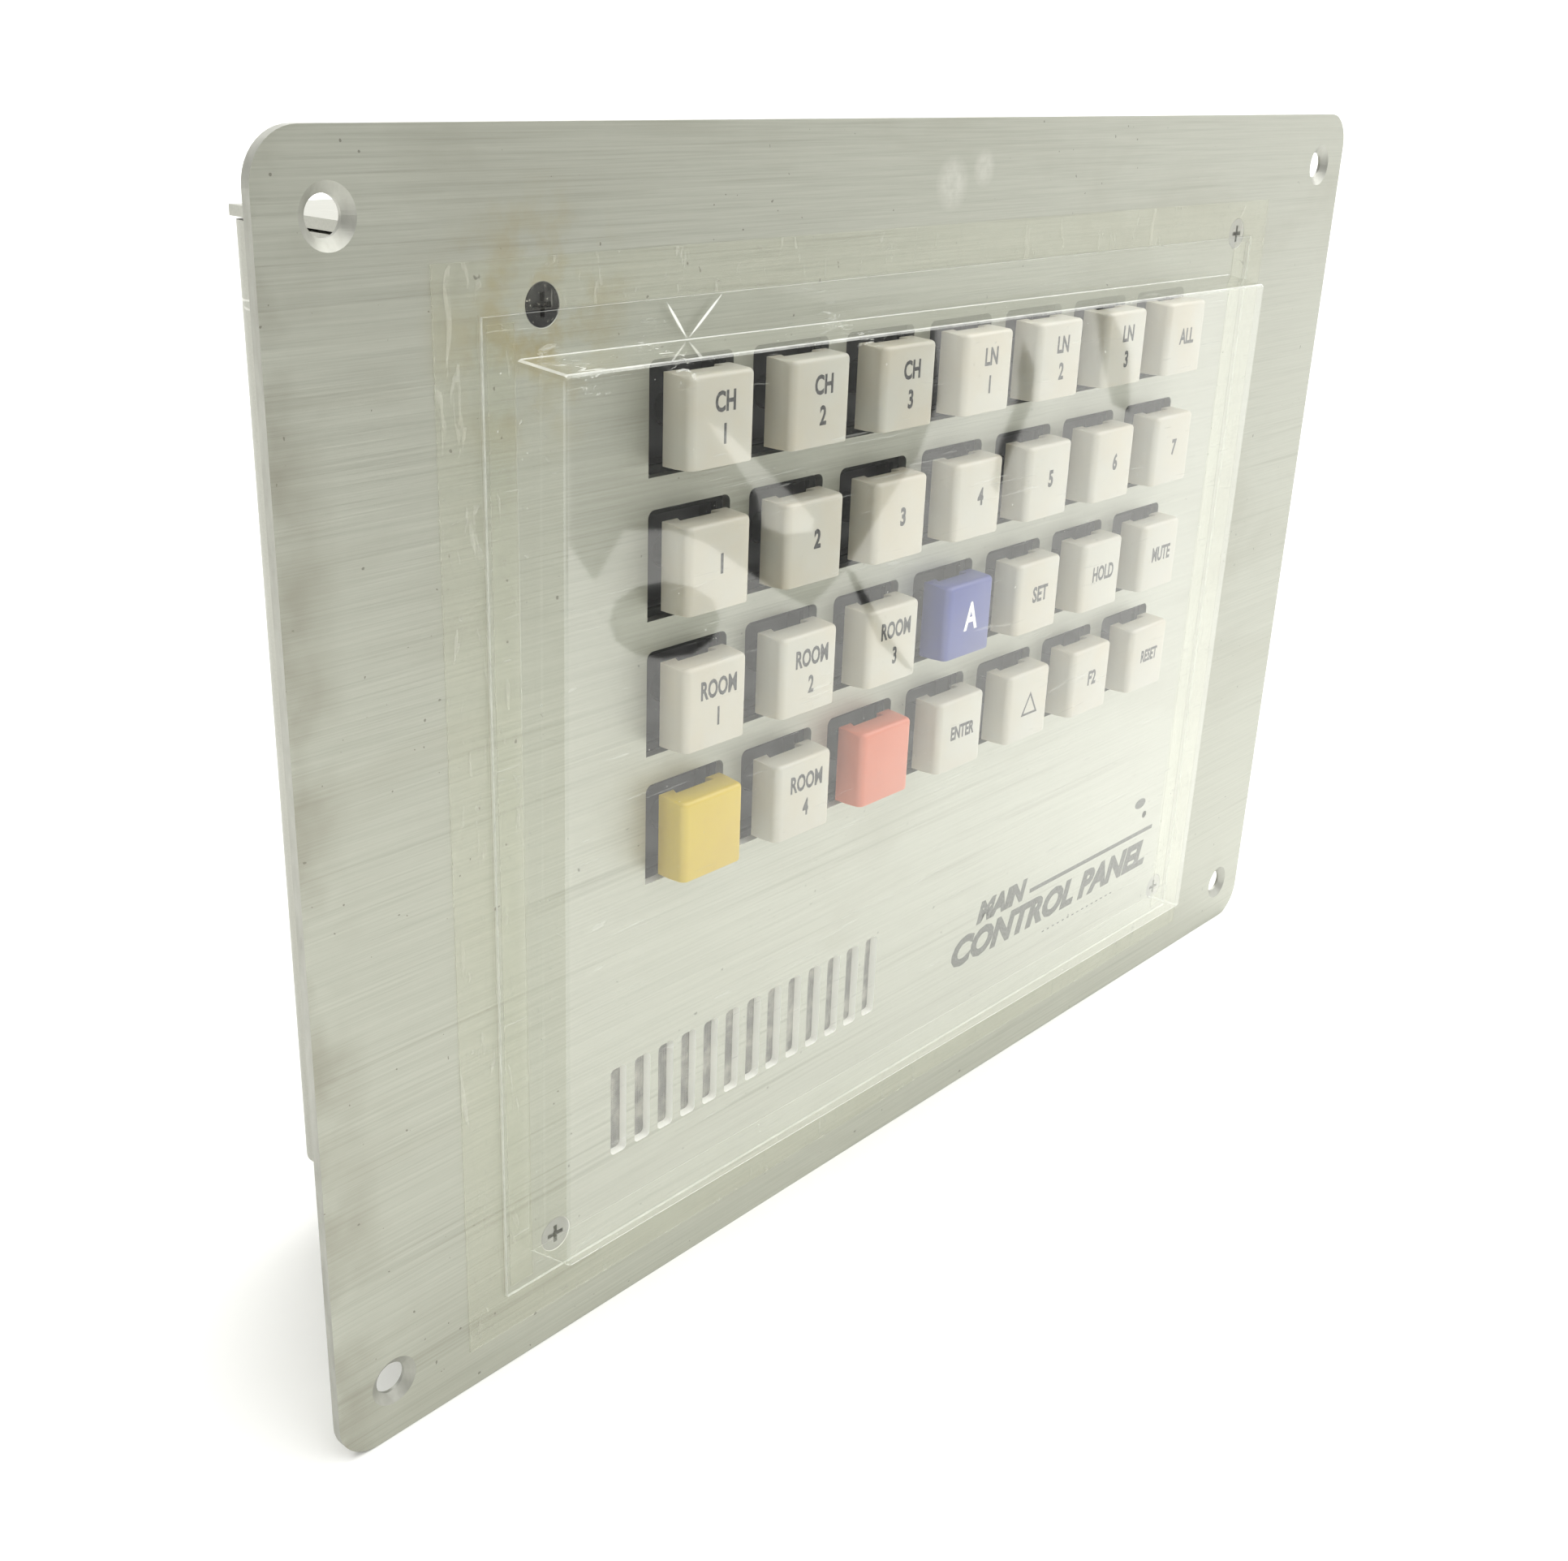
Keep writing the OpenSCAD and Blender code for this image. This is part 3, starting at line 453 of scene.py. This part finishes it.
def clear_tape():
    """Clear tape with pale air bubbles, patches of yellowed adhesive, trapped dirt and bright cut edges."""
    f = Finish("clear_tape")
    wrinkle = f.noise(1, 3, 0.5, 0.8, stretch=(160, 160, 60))
    skin = see_through(f, (0.988, 0.988, 0.962), 1.42, 0.30, f.bump(wrinkle, 0.00003, 0.5), 0.6)
    bubbles = f.ramp(f.noise(1, 5, 0.65, 1.5, stretch=(420, 420, 100)), (0.585, 0.0), (0.66, 0.18))
    grain = f.ramp(f.noise(800, 3), (0.35, 0.01), (0.7, 0.05))
    cover = f.math("ADD", f.math("ADD", bubbles, grain), f.math("MULTIPLY", f.cut_faces(), 0.25))
    adhesive = f.ramp(f.noise(38, 4, 0.6), (0.50, 0.0), (0.72, 0.9))
    pale = f.blend(adhesive, (0.76, 0.76, 0.68), (0.70, 0.67, 0.52))
    dirt = f.ramp(f.noise(1, 4, 0.7, 0.5, stretch=(240, 240, 520)), (0.66, 0.0), (0.72, 0.6))
    pale = f.blend(dirt, pale, (0.20, 0.19, 0.14))
    film = f.shader(Base_Color=pale, Roughness=0.35)
    tape = f.add("ShaderNodeMixShader", **{"0": f.math("ADD", cover, f.math("MULTIPLY", dirt, 0.35)),
                                           "1": skin, "2": film})
    return f.finish(tape.outputs[0])


def dull_steel():
    """Panel screws: plain dull steel, with the upper left one worn, black and flecked."""
    f = Finish("dull_steel")
    low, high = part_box("panel_screws")
    wear = f.noise(900, 4, 0.7)
    base = f.blend(wear, (0.30, 0.30, 0.28), (0.44, 0.44, 0.41))
    flecks = f.ramp(f.noise(1500, 3, 0.6), (0.64, 0.0), (0.72, 0.7))
    black = f.blend(flecks, (0.02, 0.02, 0.02), (0.60, 0.58, 0.50))
    upper_left = f.spot((low.x + 2.8 * MM, 0, high.z - 2.8 * MM), 0.005, 0.1)
    base = f.blend(upper_left, base, black)
    return f.finish(f.shader(Base_Color=base, Metallic=0.55, Roughness=f.ramp(wear, (0.3, 0.32), (0.7, 0.55)),
                             Normal=f.bump(wear, 0.00004)))


def plated_steel(name, colour, grain=1.0):
    """Plated or bright metal with fine scuffs and blotches."""
    f = Finish(name)
    blotch = f.noise(140 * grain, 4)
    scuff = f.noise(1, 4, 0.7, stretch=(900 * grain, 120 * grain, 2400 * grain))
    base = f.blend(f.ramp(blotch, (0.35, 0.0), (0.7, 1.0)), colour, tuple(c * 0.80 for c in colour))
    return f.finish(f.shader(Base_Color=base, Metallic=0.95, Roughness=f.ramp(scuff, (0.3, 0.24), (0.7, 0.42)),
                             Normal=f.bump(scuff, 0.00001, 0.6)))


def mill_aluminium():
    """Folded sheet with its rolling grain, light scratches and finger smears."""
    f = Finish("mill_aluminium")
    grain = f.noise(1, 5, 0.7, stretch=(30, 2600, 2600))
    smear = f.noise(24, 4, 0.6, 0.5)
    scratch = f.ramp(f.noise(1, 2, 0.4, 1.5, stretch=(900, 60, 500)), (0.745, 0.0), (0.78, 0.5))
    base = f.blend(grain, (0.36, 0.36, 0.32), (0.52, 0.52, 0.47))
    base = f.blend(f.ramp(smear, (0.5, 0.0), (0.75, 0.4)), base, (0.52, 0.52, 0.45))
    base = f.blend(scratch, base, (0.86, 0.86, 0.82))
    return f.finish(f.shader(Base_Color=base, Metallic=0.7, Roughness=f.ramp(smear, (0.3, 0.40), (0.7, 0.55)),
                             Normal=f.bump(grain, 0.00002, 0.6)))


def moulded(name, colour, roughness=0.45, grain=1400):
    """Moulded plastic or rubber with a fine skin and slightly uneven colour."""
    f = Finish(name)
    skin = f.noise(grain, 3)
    darker = tuple(c * 0.72 + 0.006 for c in colour)
    base = f.blend(f.ramp(f.noise(120, 3), (0.3, 0.0), (0.7, 1.0)), colour, darker)
    dust = f.ramp(f.noise(grain * 1.3, 2), (0.71, 0.0), (0.75, 0.35))
    return f.finish(f.shader(Base_Color=f.blend(dust, base, (0.55, 0.55, 0.50)), Roughness=roughness,
                             Normal=f.bump(skin, 0.00003, 0.7)))


def circuit_board():
    """Green solder mask over tracks, with tinned pads."""
    f = Finish("circuit_board")
    tracks = f.ramp(f.bands(200, "Z", 3.0), (0.55, 0.0), (0.62, 1.0))
    blocks = f.ramp(f.noise(40, 1), (0.48, 0.0), (0.50, 1.0))
    base = f.blend(f.math("MULTIPLY", tracks, blocks), (0.018, 0.115, 0.055), (0.045, 0.235, 0.110))
    pads = f.ramp(f.cells(394), (0.16, 1.0), (0.20, 0.0))
    pads = f.math("MULTIPLY", pads, f.ramp(f.noise(60, 1), (0.55, 0.0), (0.57, 1.0)))
    base = f.blend(pads, base, (0.62, 0.62, 0.58))
    return f.finish(f.shader(Base_Color=base, Roughness=0.32, Coat_Weight=0.3, Coat_Roughness=0.15,
                             Normal=f.bump(tracks, 0.00003, 0.8)))


def woven_cloth():
    """Loose loudspeaker cloth, grey with dust between its threads."""
    f = Finish("woven_cloth")
    weave = f.math("MULTIPLY", f.bands(950, "X", 0.4), f.bands(950, "Z", 0.4))
    dust = f.ramp(f.noise(260, 4, 0.7), (0.42, 0.0), (0.68, 0.85))
    base = f.blend(weave, (0.15, 0.15, 0.135), (0.34, 0.34, 0.31))
    base = f.blend(dust, base, (0.50, 0.49, 0.43))
    return f.finish(f.shader(Base_Color=base, Roughness=0.95, Sheen_Weight=0.2, Sheen_Roughness=0.5,
                             Normal=f.bump(weave, 0.00012, 0.9)))


def pressed_paper():
    f = Finish("pressed_paper")
    fibres = f.noise(700, 5, 0.75, 1.0)
    return f.finish(f.shader(Base_Color=f.blend(fibres, (0.028, 0.028, 0.026), (0.075, 0.072, 0.066)),
                             Roughness=0.9, Normal=f.bump(fibres, 0.00008)))


def flat_cable():
    """Grey ribbon cable: a ridge for each wire and a red edge."""
    f = Finish("flat_cable")
    ridges = f.bands(250, "X")
    base = f.blend(ridges, (0.24, 0.25, 0.25), (0.47, 0.48, 0.48))
    low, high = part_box("ribbon_cable")
    red_edge = f.ramp(f.along("X", low.x, low.x + 2.6 * MM), (0.49, 1.0), (0.51, 0.0))
    base = f.blend(red_edge, base, (0.50, 0.05, 0.04))
    return f.finish(f.shader(Base_Color=base, Roughness=0.42, Normal=f.bump(ridges, 0.00025)))


def shrink_sleeve():
    """Blue capacitor sleeve with its pale stripe."""
    f = Finish("shrink_sleeve")
    stripe = f.ramp(f.bands(26, "X"), (0.90, 0.0), (0.93, 1.0))
    base = f.blend(stripe, (0.025, 0.060, 0.230), (0.62, 0.64, 0.66))
    base = f.blend(f.ramp(f.noise(300, 2), (0.4, 0.0), (0.8, 0.3)), base, (0.10, 0.12, 0.20))
    return f.finish(f.shader(Base_Color=base, Roughness=0.28, Coat_Weight=0.4,
                             Normal=f.bump(f.noise(600, 2), 0.00003)))


def laminated_core():
    """Transformer: stacked steel sheets, with rust spots."""
    f = Finish("laminated_core")
    sheets = f.bands(520, "Z", 0.3)
    base = f.blend(sheets, (0.13, 0.12, 0.105), (0.33, 0.31, 0.275))
    rust = f.ramp(f.noise(260, 4), (0.60, 0.0), (0.72, 0.5))
    base = f.blend(rust, base, (0.24, 0.11, 0.05))
    return f.finish(f.shader(Base_Color=base, Metallic=0.5, Roughness=0.5, Normal=f.bump(sheets, 0.00008)))


def finish_cad_nodes():
    """Gives every CAD node that stays in view its own finish."""
    zinc = plated_steel("zinc_plate", (0.62, 0.62, 0.59))
    board = circuit_board()
    alloy = mill_aluminium()
    rubber = moulded("soft_rubber", (0.030, 0.030, 0.030), 0.7)
    chip = moulded("chip_epoxy", (0.028, 0.028, 0.031), 0.5)
    finishes = {
        "front_plate": brushed_panel(), "key_mask": black_mask(), "panel_screws": dull_steel(),
        "panel_studs": zinc, "panel_nuts": zinc, "key_board_spacers": zinc, "speaker_clips": zinc,
        "control_board_spacers": zinc, "control_board_screws": zinc, "terminal_screws": zinc,
        "chassis_screws": zinc, "switch_housings": moulded("switch_nylon", (0.026, 0.026, 0.030)),
        "return_springs": plated_steel("spring_wire", (0.60, 0.60, 0.58), 4), "key_board": board,
        "control_board": board, "speaker_cloth": woven_cloth(),
        "speaker_basket": plated_steel("pressed_steel", (0.50, 0.50, 0.47)),
        "speaker_magnet": moulded("ferrite", (0.065, 0.065, 0.070), 0.55, 2200),
        "speaker_cone": pressed_paper(), "speaker_surround": rubber, "mic_grommet": rubber,
        "microphone": plated_steel("mic_can", (0.70, 0.70, 0.68), 2), "logic_chips": chip,
        "board_headers": chip, "capacitors": shrink_sleeve(), "audio_transformer": laminated_core(),
        "ribbon_cable": flat_cable(), "terminal_block": moulded("terminal_nylon", (0.022, 0.200, 0.085)),
        "rear_chassis": alloy, "chassis_top": alloy,
    }
    for name, material in finishes.items():
        paint(frame["nodes"][name], material)


# ---- helpers for modelling ----

def start_piece(add, name, **place):
    """Adds a primitive with nothing else selected, puts its place in its mesh and opens it for editing."""
    bpy.ops.object.select_all(action="DESELECT")
    add(**place)
    piece = bpy.context.object
    piece.name = name
    piece.data.name = name
    bpy.ops.object.transform_apply(location=True, rotation=True, scale=True)
    bpy.ops.object.mode_set(mode="EDIT")
    return piece


def select(piece, kind, test):
    """Selects the vertices, edges or faces of the open piece that pass a test."""
    bpy.ops.mesh.select_mode(type=kind)
    bpy.ops.mesh.select_all(action="DESELECT")
    mesh = bmesh.from_edit_mesh(piece.data)
    for part in {"VERT": mesh.verts, "EDGE": mesh.edges, "FACE": mesh.faces}[kind]:
        if test(part):
            part.select_set(True)
    mesh.select_flush_mode()
    bmesh.update_edit_mesh(piece.data)


def middle(part):
    return sum((v.co for v in part.verts), Vector()) / len(part.verts)


def close_piece(piece, angle=35):
    bpy.ops.object.mode_set(mode="OBJECT")
    bpy.ops.object.select_all(action="DESELECT")
    piece.select_set(True)
    bpy.context.view_layer.objects.active = piece
    bpy.ops.object.shade_smooth_by_angle(angle=math.radians(angle))


def apply_modifier(piece, name, kind, **settings):
    modifier = piece.modifiers.new(name, kind)
    for key, value in settings.items():
        setattr(modifier, key, value)
    bpy.context.view_layer.objects.active = piece
    bpy.ops.object.modifier_apply(modifier=modifier.name)


def join_into(piece, *others):
    bpy.ops.object.select_all(action="DESELECT")
    for other in (*others, piece):
        other.select_set(True)
    bpy.context.view_layer.objects.active = piece
    bpy.ops.object.join()
    return piece


def lettering(name, text, size, centre, front, squeeze=0.72, weight=0.00004, slant=0.0):
    """Flat raised lettering that faces the front of the panel, as a mesh."""
    bpy.ops.object.select_all(action="DESELECT")
    bpy.ops.object.text_add()
    words = bpy.context.object
    words.name = name
    words.data.body = text
    words.data.size = size
    words.data.align_x = "CENTER"
    words.data.align_y = "CENTER"
    words.data.space_line = 1.16
    words.data.shear = slant
    words.data.offset = weight
    words.data.extrude = 0.00001
    words.data.resolution_u = 3
    bpy.ops.object.convert(target="MESH")
    words = bpy.context.object
    words.scale = (squeeze, 1, 1)
    words.rotation_euler = (math.radians(90), 0, 0)
    words.location = (centre[0], front, centre[1])
    bpy.ops.object.transform_apply(location=True, rotation=True, scale=True)
    return words


# ---- key caps ----

def model_cap(plastic):
    """One hollow cap round its own axis: rounded front corners, a notched top skirt and its stem."""
    half = CAP_SIZE / 2
    deep = CAP_BACK - CAP_FRONT
    cap = start_piece(bpy.ops.mesh.primitive_cube_add, "cap", size=1,
                      location=(0, (CAP_FRONT + CAP_BACK) / 2, 0), scale=(CAP_SIZE, deep, CAP_SIZE))
    near = lambda a, b: abs(a - b) < 1e-5
    select(cap, "EDGE", lambda e: all(near(v.co.y, CAP_FRONT) for v in e.verts)
           and near(e.verts[0].co.x, e.verts[1].co.x))
    bpy.ops.mesh.bevel(offset=1.15 * MM, segments=5)
    select(cap, "EDGE", lambda e: all(near(v.co.z, half) and v.co.y < CAP_FRONT + 1.2 * MM for v in e.verts))
    bpy.ops.mesh.bevel(offset=0.75 * MM, segments=4)
    select(cap, "EDGE", lambda e: all(near(v.co.z, -half) and v.co.y < CAP_FRONT + 1.2 * MM for v in e.verts))
    bpy.ops.mesh.bevel(offset=0.3 * MM, segments=2)

    # The back is open, and the notch has sloping ends.
    select(cap, "FACE", lambda f: f.normal.y > 0.9)
    bpy.ops.mesh.delete(type="FACE")
    depth = CAP_BACK - NOTCH_DEPTH
    top = lambda f: f.normal.z > 0.9
    for side in (-1, 1):
        select(cap, "FACE", top)
        bpy.ops.mesh.bisect(plane_co=(side * 3.35 * MM, CAP_BACK, half), plane_no=(1, side * 0.55, 0))
    select(cap, "FACE", lambda f: top(f) and abs(middle(f).x) < 3 * MM)
    bpy.ops.mesh.bisect(plane_co=(0, depth, half), plane_no=(0, 1, 0))
    select(cap, "FACE", lambda f: top(f) and abs(middle(f).x) < 3 * MM and middle(f).y > depth)
    bpy.ops.mesh.delete(type="FACE")
    bpy.ops.mesh.select_all(action="SELECT")
    bpy.ops.mesh.remove_doubles(threshold=1e-6)
    close_piece(cap)
    apply_modifier(cap, "wall", "SOLIDIFY", thickness=CAP_WALL, offset=-1, use_even_offset=True)
    apply_modifier(cap, "soft_edges", "BEVEL", width=0.22 * MM, segments=2, limit_method="ANGLE",
                   angle_limit=math.radians(50))

    stem_front = CAP_FRONT + 1.2 * MM
    stem = start_piece(bpy.ops.mesh.primitive_cylinder_add, "stem", vertices=24, radius=STEM_RADIUS,
                       depth=STEM_BACK - stem_front, location=(0, (STEM_BACK + stem_front) / 2, 0),
                       rotation=(math.radians(90), 0, 0))
    select(stem, "FACE", lambda f: abs(f.normal.y) > 0.9)
    bpy.ops.mesh.inset(thickness=0.5 * MM)
    select(stem, "FACE", lambda f: f.normal.y > 0.9 and middle(f).xz.length < 1e-5 and len(f.verts) > 8)
    bpy.ops.mesh.extrude_region_move(TRANSFORM_OT_translate={"value": (0, -1.5 * MM, 0)})
    close_piece(stem)
    paint(cap, plastic)
    paint(stem, moulded("plunger_nylon", (0.016, 0.016, 0.018), 0.7))
    join_into(cap, stem)
    bpy.ops.object.shade_smooth_by_angle(angle=math.radians(35))
    return cap


LEGENDS = {
    (1, 1): "CH\n1", (1, 2): "CH\n2", (1, 3): "CH\n3", (1, 4): "LN\n1", (1, 5): "LN\n2",
    (1, 6): "LN\n3", (1, 7): "ALL",
    (2, 1): "1", (2, 2): "2", (2, 3): "3", (2, 4): "4", (2, 5): "5", (2, 6): "6", (2, 7): "7",
    (3, 1): "ROOM\n1", (3, 2): "ROOM\n2", (3, 3): "ROOM\n3", (3, 4): "A", (3, 5): "SET",
    (3, 6): "HOLD", (3, 7): "MUTE",
    (4, 2): "ROOM\n4", (4, 4): "ENTER", (4, 5): "triangle", (4, 6): "F2", (4, 7): "RESET",
}
COLOURED_CAPS = {(3, 4): "key_blue", (4, 1): "key_yellow", (4, 3): "key_red"}


def build_legend(text, x, z):
    """The marking on a cap's front: one or two short lines, or an outlined triangle."""
    front = CAP_FRONT - LEGEND_LIFT
    if text == "triangle":
        mark = start_piece(bpy.ops.mesh.primitive_circle_add, "legend", vertices=3, radius=2.9 * MM,
                           fill_type="NGON", location=(x, front, z - 0.6 * MM),
                           rotation=(math.radians(90), 0, 0))
        bpy.ops.mesh.select_all(action="SELECT")
        bpy.ops.mesh.inset(thickness=0.42 * MM)
        bpy.ops.mesh.delete(type="FACE")
        close_piece(mark)
        return mark
    if not text:
        return None
    longest = max(len(line) for line in text.split("\n"))
    size = (6.6 if text == "A" else 3.8 if longest < 5 else 3.3) * MM
    squeeze = 0.76 if longest < 4 else 0.66
    weight = 0.00016 if longest == 1 else 0.00012
    return lettering("legend", text, size, (x, z), front, squeeze, weight)


def build_keys():
    plastics = {
        "key_ivory": key_plastic("key_ivory", (0.455, 0.447, 0.388), (0.455, 0.405, 0.305)),
        "key_blue": key_plastic("key_blue", (0.045, 0.062, 0.26), (0.04, 0.05, 0.18)),
        "key_yellow": key_plastic("key_yellow", (0.50, 0.375, 0.018), (0.45, 0.30, 0.015)),
        "key_red": key_plastic("key_red", (0.55, 0.155, 0.085), (0.48, 0.115, 0.055)),
    }
    dark_ink = printed_ink("dark_legend", (0.035, 0.035, 0.035))
    white_ink = printed_ink("white_legend", (0.80, 0.80, 0.76))
    pattern = model_cap(plastics["key_ivory"])
    for row in range(1, 5):
        for column in range(1, 8):
            body = f"key_row{row}_col{column}"
            low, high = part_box(body)
            centre = (low + high) / 2
            finish = COLOURED_CAPS.get((row, column), "key_ivory")
            cap = pattern.copy()
            cap.data = pattern.data.copy()
            cap.name = cap.data.name = f"cap_row{row}_col{column}"
            bpy.context.scene.collection.objects.link(cap)
            cap.data.transform(Matrix.Translation((centre.x, 0, centre.z)))
            cap.data.materials[0] = plastics[finish]
            legend = build_legend(LEGENDS.get((row, column)), centre.x + 0.3 * MM, centre.z + 0.2 * MM)
            if legend:
                paint(legend, white_ink if finish == "key_blue" else dark_ink)
                join_into(cap, legend)
            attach(cap, body)
            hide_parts(body)
    bpy.data.objects.remove(pattern)


# ---- film cover and print ----

def build_cover():
    """The formed film: a raised front with sloping sides, a flat flange and gently uneven faces."""
    front = COVER_LOW.y
    flange = COVER_HIGH.y - FILM_THICK
    film = start_piece(bpy.ops.mesh.primitive_cube_add, "film_cover", size=1,
                       location=(COVER_X, (front + flange) / 2, COVER_Z),
                       scale=(COVER_WIDTH, flange - front, COVER_HEIGHT))
    near = lambda a, b: abs(a - b) < 1e-5
    paint(film, clear_film(), film_fold())
    select(film, "FACE", lambda f: f.normal.y > 0.9)
    bpy.ops.transform.resize(value=(1 + 2 * COVER_SLOPE / COVER_WIDTH, 1, 1 + 2 * COVER_SLOPE / COVER_HEIGHT),
                             center_override=(COVER_X, 0, COVER_Z))
    bpy.ops.mesh.delete(type="FACE")
    select(film, "EDGE", lambda e: near(abs(e.verts[0].co.x - e.verts[1].co.x), COVER_SLOPE)
           and near(abs(e.verts[0].co.z - e.verts[1].co.z), COVER_SLOPE))
    bpy.ops.mesh.bevel(offset=0.7 * MM, segments=2, material=1)
    select(film, "EDGE", lambda e: all(near(v.co.y, front) for v in e.verts))
    bpy.ops.mesh.bevel(offset=0.38 * MM, segments=2, material=1)

    bpy.ops.mesh.select_all(action="SELECT")
    bpy.ops.transform.rotate(value=math.radians(COVER_TURN), orient_axis="Y",
                             center_override=(COVER_X, 0, COVER_Z))

    # The flange is drawn out from the open rim to the cover's edges, corner by corner and side by side.
    select(film, "EDGE", lambda e: e.is_boundary)
    bpy.ops.mesh.extrude_region_move()
    for right, above in ((0, 0), (0, 1), (1, 0), (1, 1)):
        select(film, "VERT", lambda v: v.is_boundary and (v.co.x > COVER_X) == bool(right)
               and (v.co.z > COVER_Z) == bool(above))
        bpy.ops.mesh.merge(type="CENTER")
        corner = next(v.co.copy() for v in bmesh.from_edit_mesh(film.data).verts if v.select)
        target = Vector((COVER_HIGH.x if right else COVER_LOW.x, corner.y,
                         COVER_HIGH.z if above else COVER_LOW.z))
        bpy.ops.transform.translate(value=target - corner)
    select(film, "FACE", lambda f: abs(f.normal.y) > 0.99 and middle(f).y > (front + flange) / 2)
    film.active_material_index = 0
    bpy.ops.object.material_slot_assign()
    select(film, "EDGE", lambda e: len(e.link_faces) == 2 and all(near(v.co.y, flange) for v in e.verts)
           and any(abs(f.normal.y) < 0.9 for f in e.link_faces))
    bpy.ops.mesh.bevel(offset=0.14 * MM, segments=2, material=1)

    # Its cut edge is nearly as deep as the film is thick.
    select(film, "EDGE", lambda e: e.is_boundary)
    bpy.ops.mesh.extrude_region_move(TRANSFORM_OT_translate={"value": (0, CUT_EDGE, 0)})
    film.active_material_index = 1
    select(film, "FACE", lambda f: middle(f).y > flange + 0.1 * MM)
    bpy.ops.object.material_slot_assign()
    bpy.ops.mesh.select_all(action="SELECT")
    bpy.ops.mesh.normals_make_consistent(inside=False)
    close_piece(film, 4)
    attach(film, "panel")
    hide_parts("protective_cover")


def build_tape():
    """The tape round the flange and the two strips under it, laid just off the panel."""
    front = TAPE_LOW.y
    middle_x, middle_z = (TAPE_LOW.x + TAPE_HIGH.x) / 2, (TAPE_LOW.z + TAPE_HIGH.z) / 2
    tape = start_piece(bpy.ops.mesh.primitive_plane_add, "tape_frame", size=1,
                       rotation=(math.radians(90), 0, 0), location=(middle_x, front, middle_z))
    bpy.ops.mesh.select_all(action="SELECT")
    bpy.ops.transform.resize(value=(TAPE_HIGH.x - TAPE_LOW.x, 1, TAPE_HIGH.z - TAPE_LOW.z),
                             center_override=(middle_x, front, middle_z))
    bpy.ops.mesh.inset(thickness=TAPE_BORDER)
    inner_x, inner_z = (COVER_LOW.x + COVER_HIGH.x) / 2, (COVER_LOW.z + COVER_HIGH.z) / 2
    bpy.ops.transform.translate(value=(inner_x - middle_x, 0, inner_z - middle_z))
    bpy.ops.mesh.delete(type="FACE")
    close_piece(tape)
    strips = []
    for x in (COVER_LOW.x + STRIP_INSET, COVER_HIGH.x - STRIP_INSET):
        strip = start_piece(bpy.ops.mesh.primitive_plane_add, "tape_strip", size=1,
                            rotation=(math.radians(90), 0, 0), location=(x, front + 0.01 * MM, inner_z))
        bpy.ops.mesh.select_all(action="SELECT")
        bpy.ops.transform.resize(value=(STRIP_WIDTH, 1, COVER_HIGH.z - COVER_LOW.z - 2 * MM),
                                 center_override=(x, front, inner_z))
        bpy.ops.mesh.subdivide(number_cuts=3)
        close_piece(strip)
        strips.append(strip)
    join_into(tape, *strips)
    bpy.ops.object.mode_set(mode="EDIT")
    bpy.ops.mesh.select_all(action="SELECT")
    bpy.ops.mesh.normals_make_consistent(inside=False)
    select(tape, "FACE", lambda f: f.normal.y > 0)
    bpy.ops.mesh.flip_normals()
    select(tape, "EDGE", lambda e: e.is_boundary)
    bpy.ops.mesh.extrude_region_move(TRANSFORM_OT_translate={"value": (0, TAPE_EDGE, 0)})
    close_piece(tape)
    paint(tape, clear_tape())
    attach(tape, "panel")
    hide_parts("cover_tape")


def build_print():
    """The plain generic print at the lower right: two lines of lettering, a rule, dashes and a small oval."""
    front = PLATE_FRONT - PRINT_LIFT
    words = lettering("panel_print", "CONTROL PANEL", 7.6 * MM, (46 * MM, -60.0 * MM), front,
                      1.13, 0.00042, PRINT_SLANT)
    above = lettering("line_above", "MAIN", 5.6 * MM, (27 * MM, -53.6 * MM), front, 1.1, 0.00036, PRINT_SLANT)
    below = lettering("line_below", "- - - - - - - - - - - - - - -", 3 * MM, (56 * MM, -65.3 * MM), front,
                      1.0, 0.0)
    rule = start_piece(bpy.ops.mesh.primitive_cube_add, "rule", size=1,
                       location=(60 * MM, front, -54.4 * MM), scale=(46 * MM, 0.02 * MM, 0.9 * MM))
    bpy.ops.mesh.subdivide(number_cuts=2)
    close_piece(rule)
    mark_place = (76.8 * MM, front, -47.4 * MM)
    mark = start_piece(bpy.ops.mesh.primitive_circle_add, "mark", vertices=24, radius=1 * MM, fill_type="NGON",
                       location=mark_place, rotation=(math.radians(90), 0, 0))
    bpy.ops.mesh.select_all(action="SELECT")
    bpy.ops.transform.resize(value=(2.1, 1, 1.1), center_override=mark_place)
    bpy.ops.mesh.inset(thickness=0.25 * MM)
    close_piece(mark)
    join_into(words, rule, above, below, mark)
    paint(words, printed_ink("panel_print", (0.07, 0.073, 0.062)))
    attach(words, "panel")


add_camera()
add_studio()
finish_cad_nodes()
build_keys()
build_cover()
build_tape()
build_print()
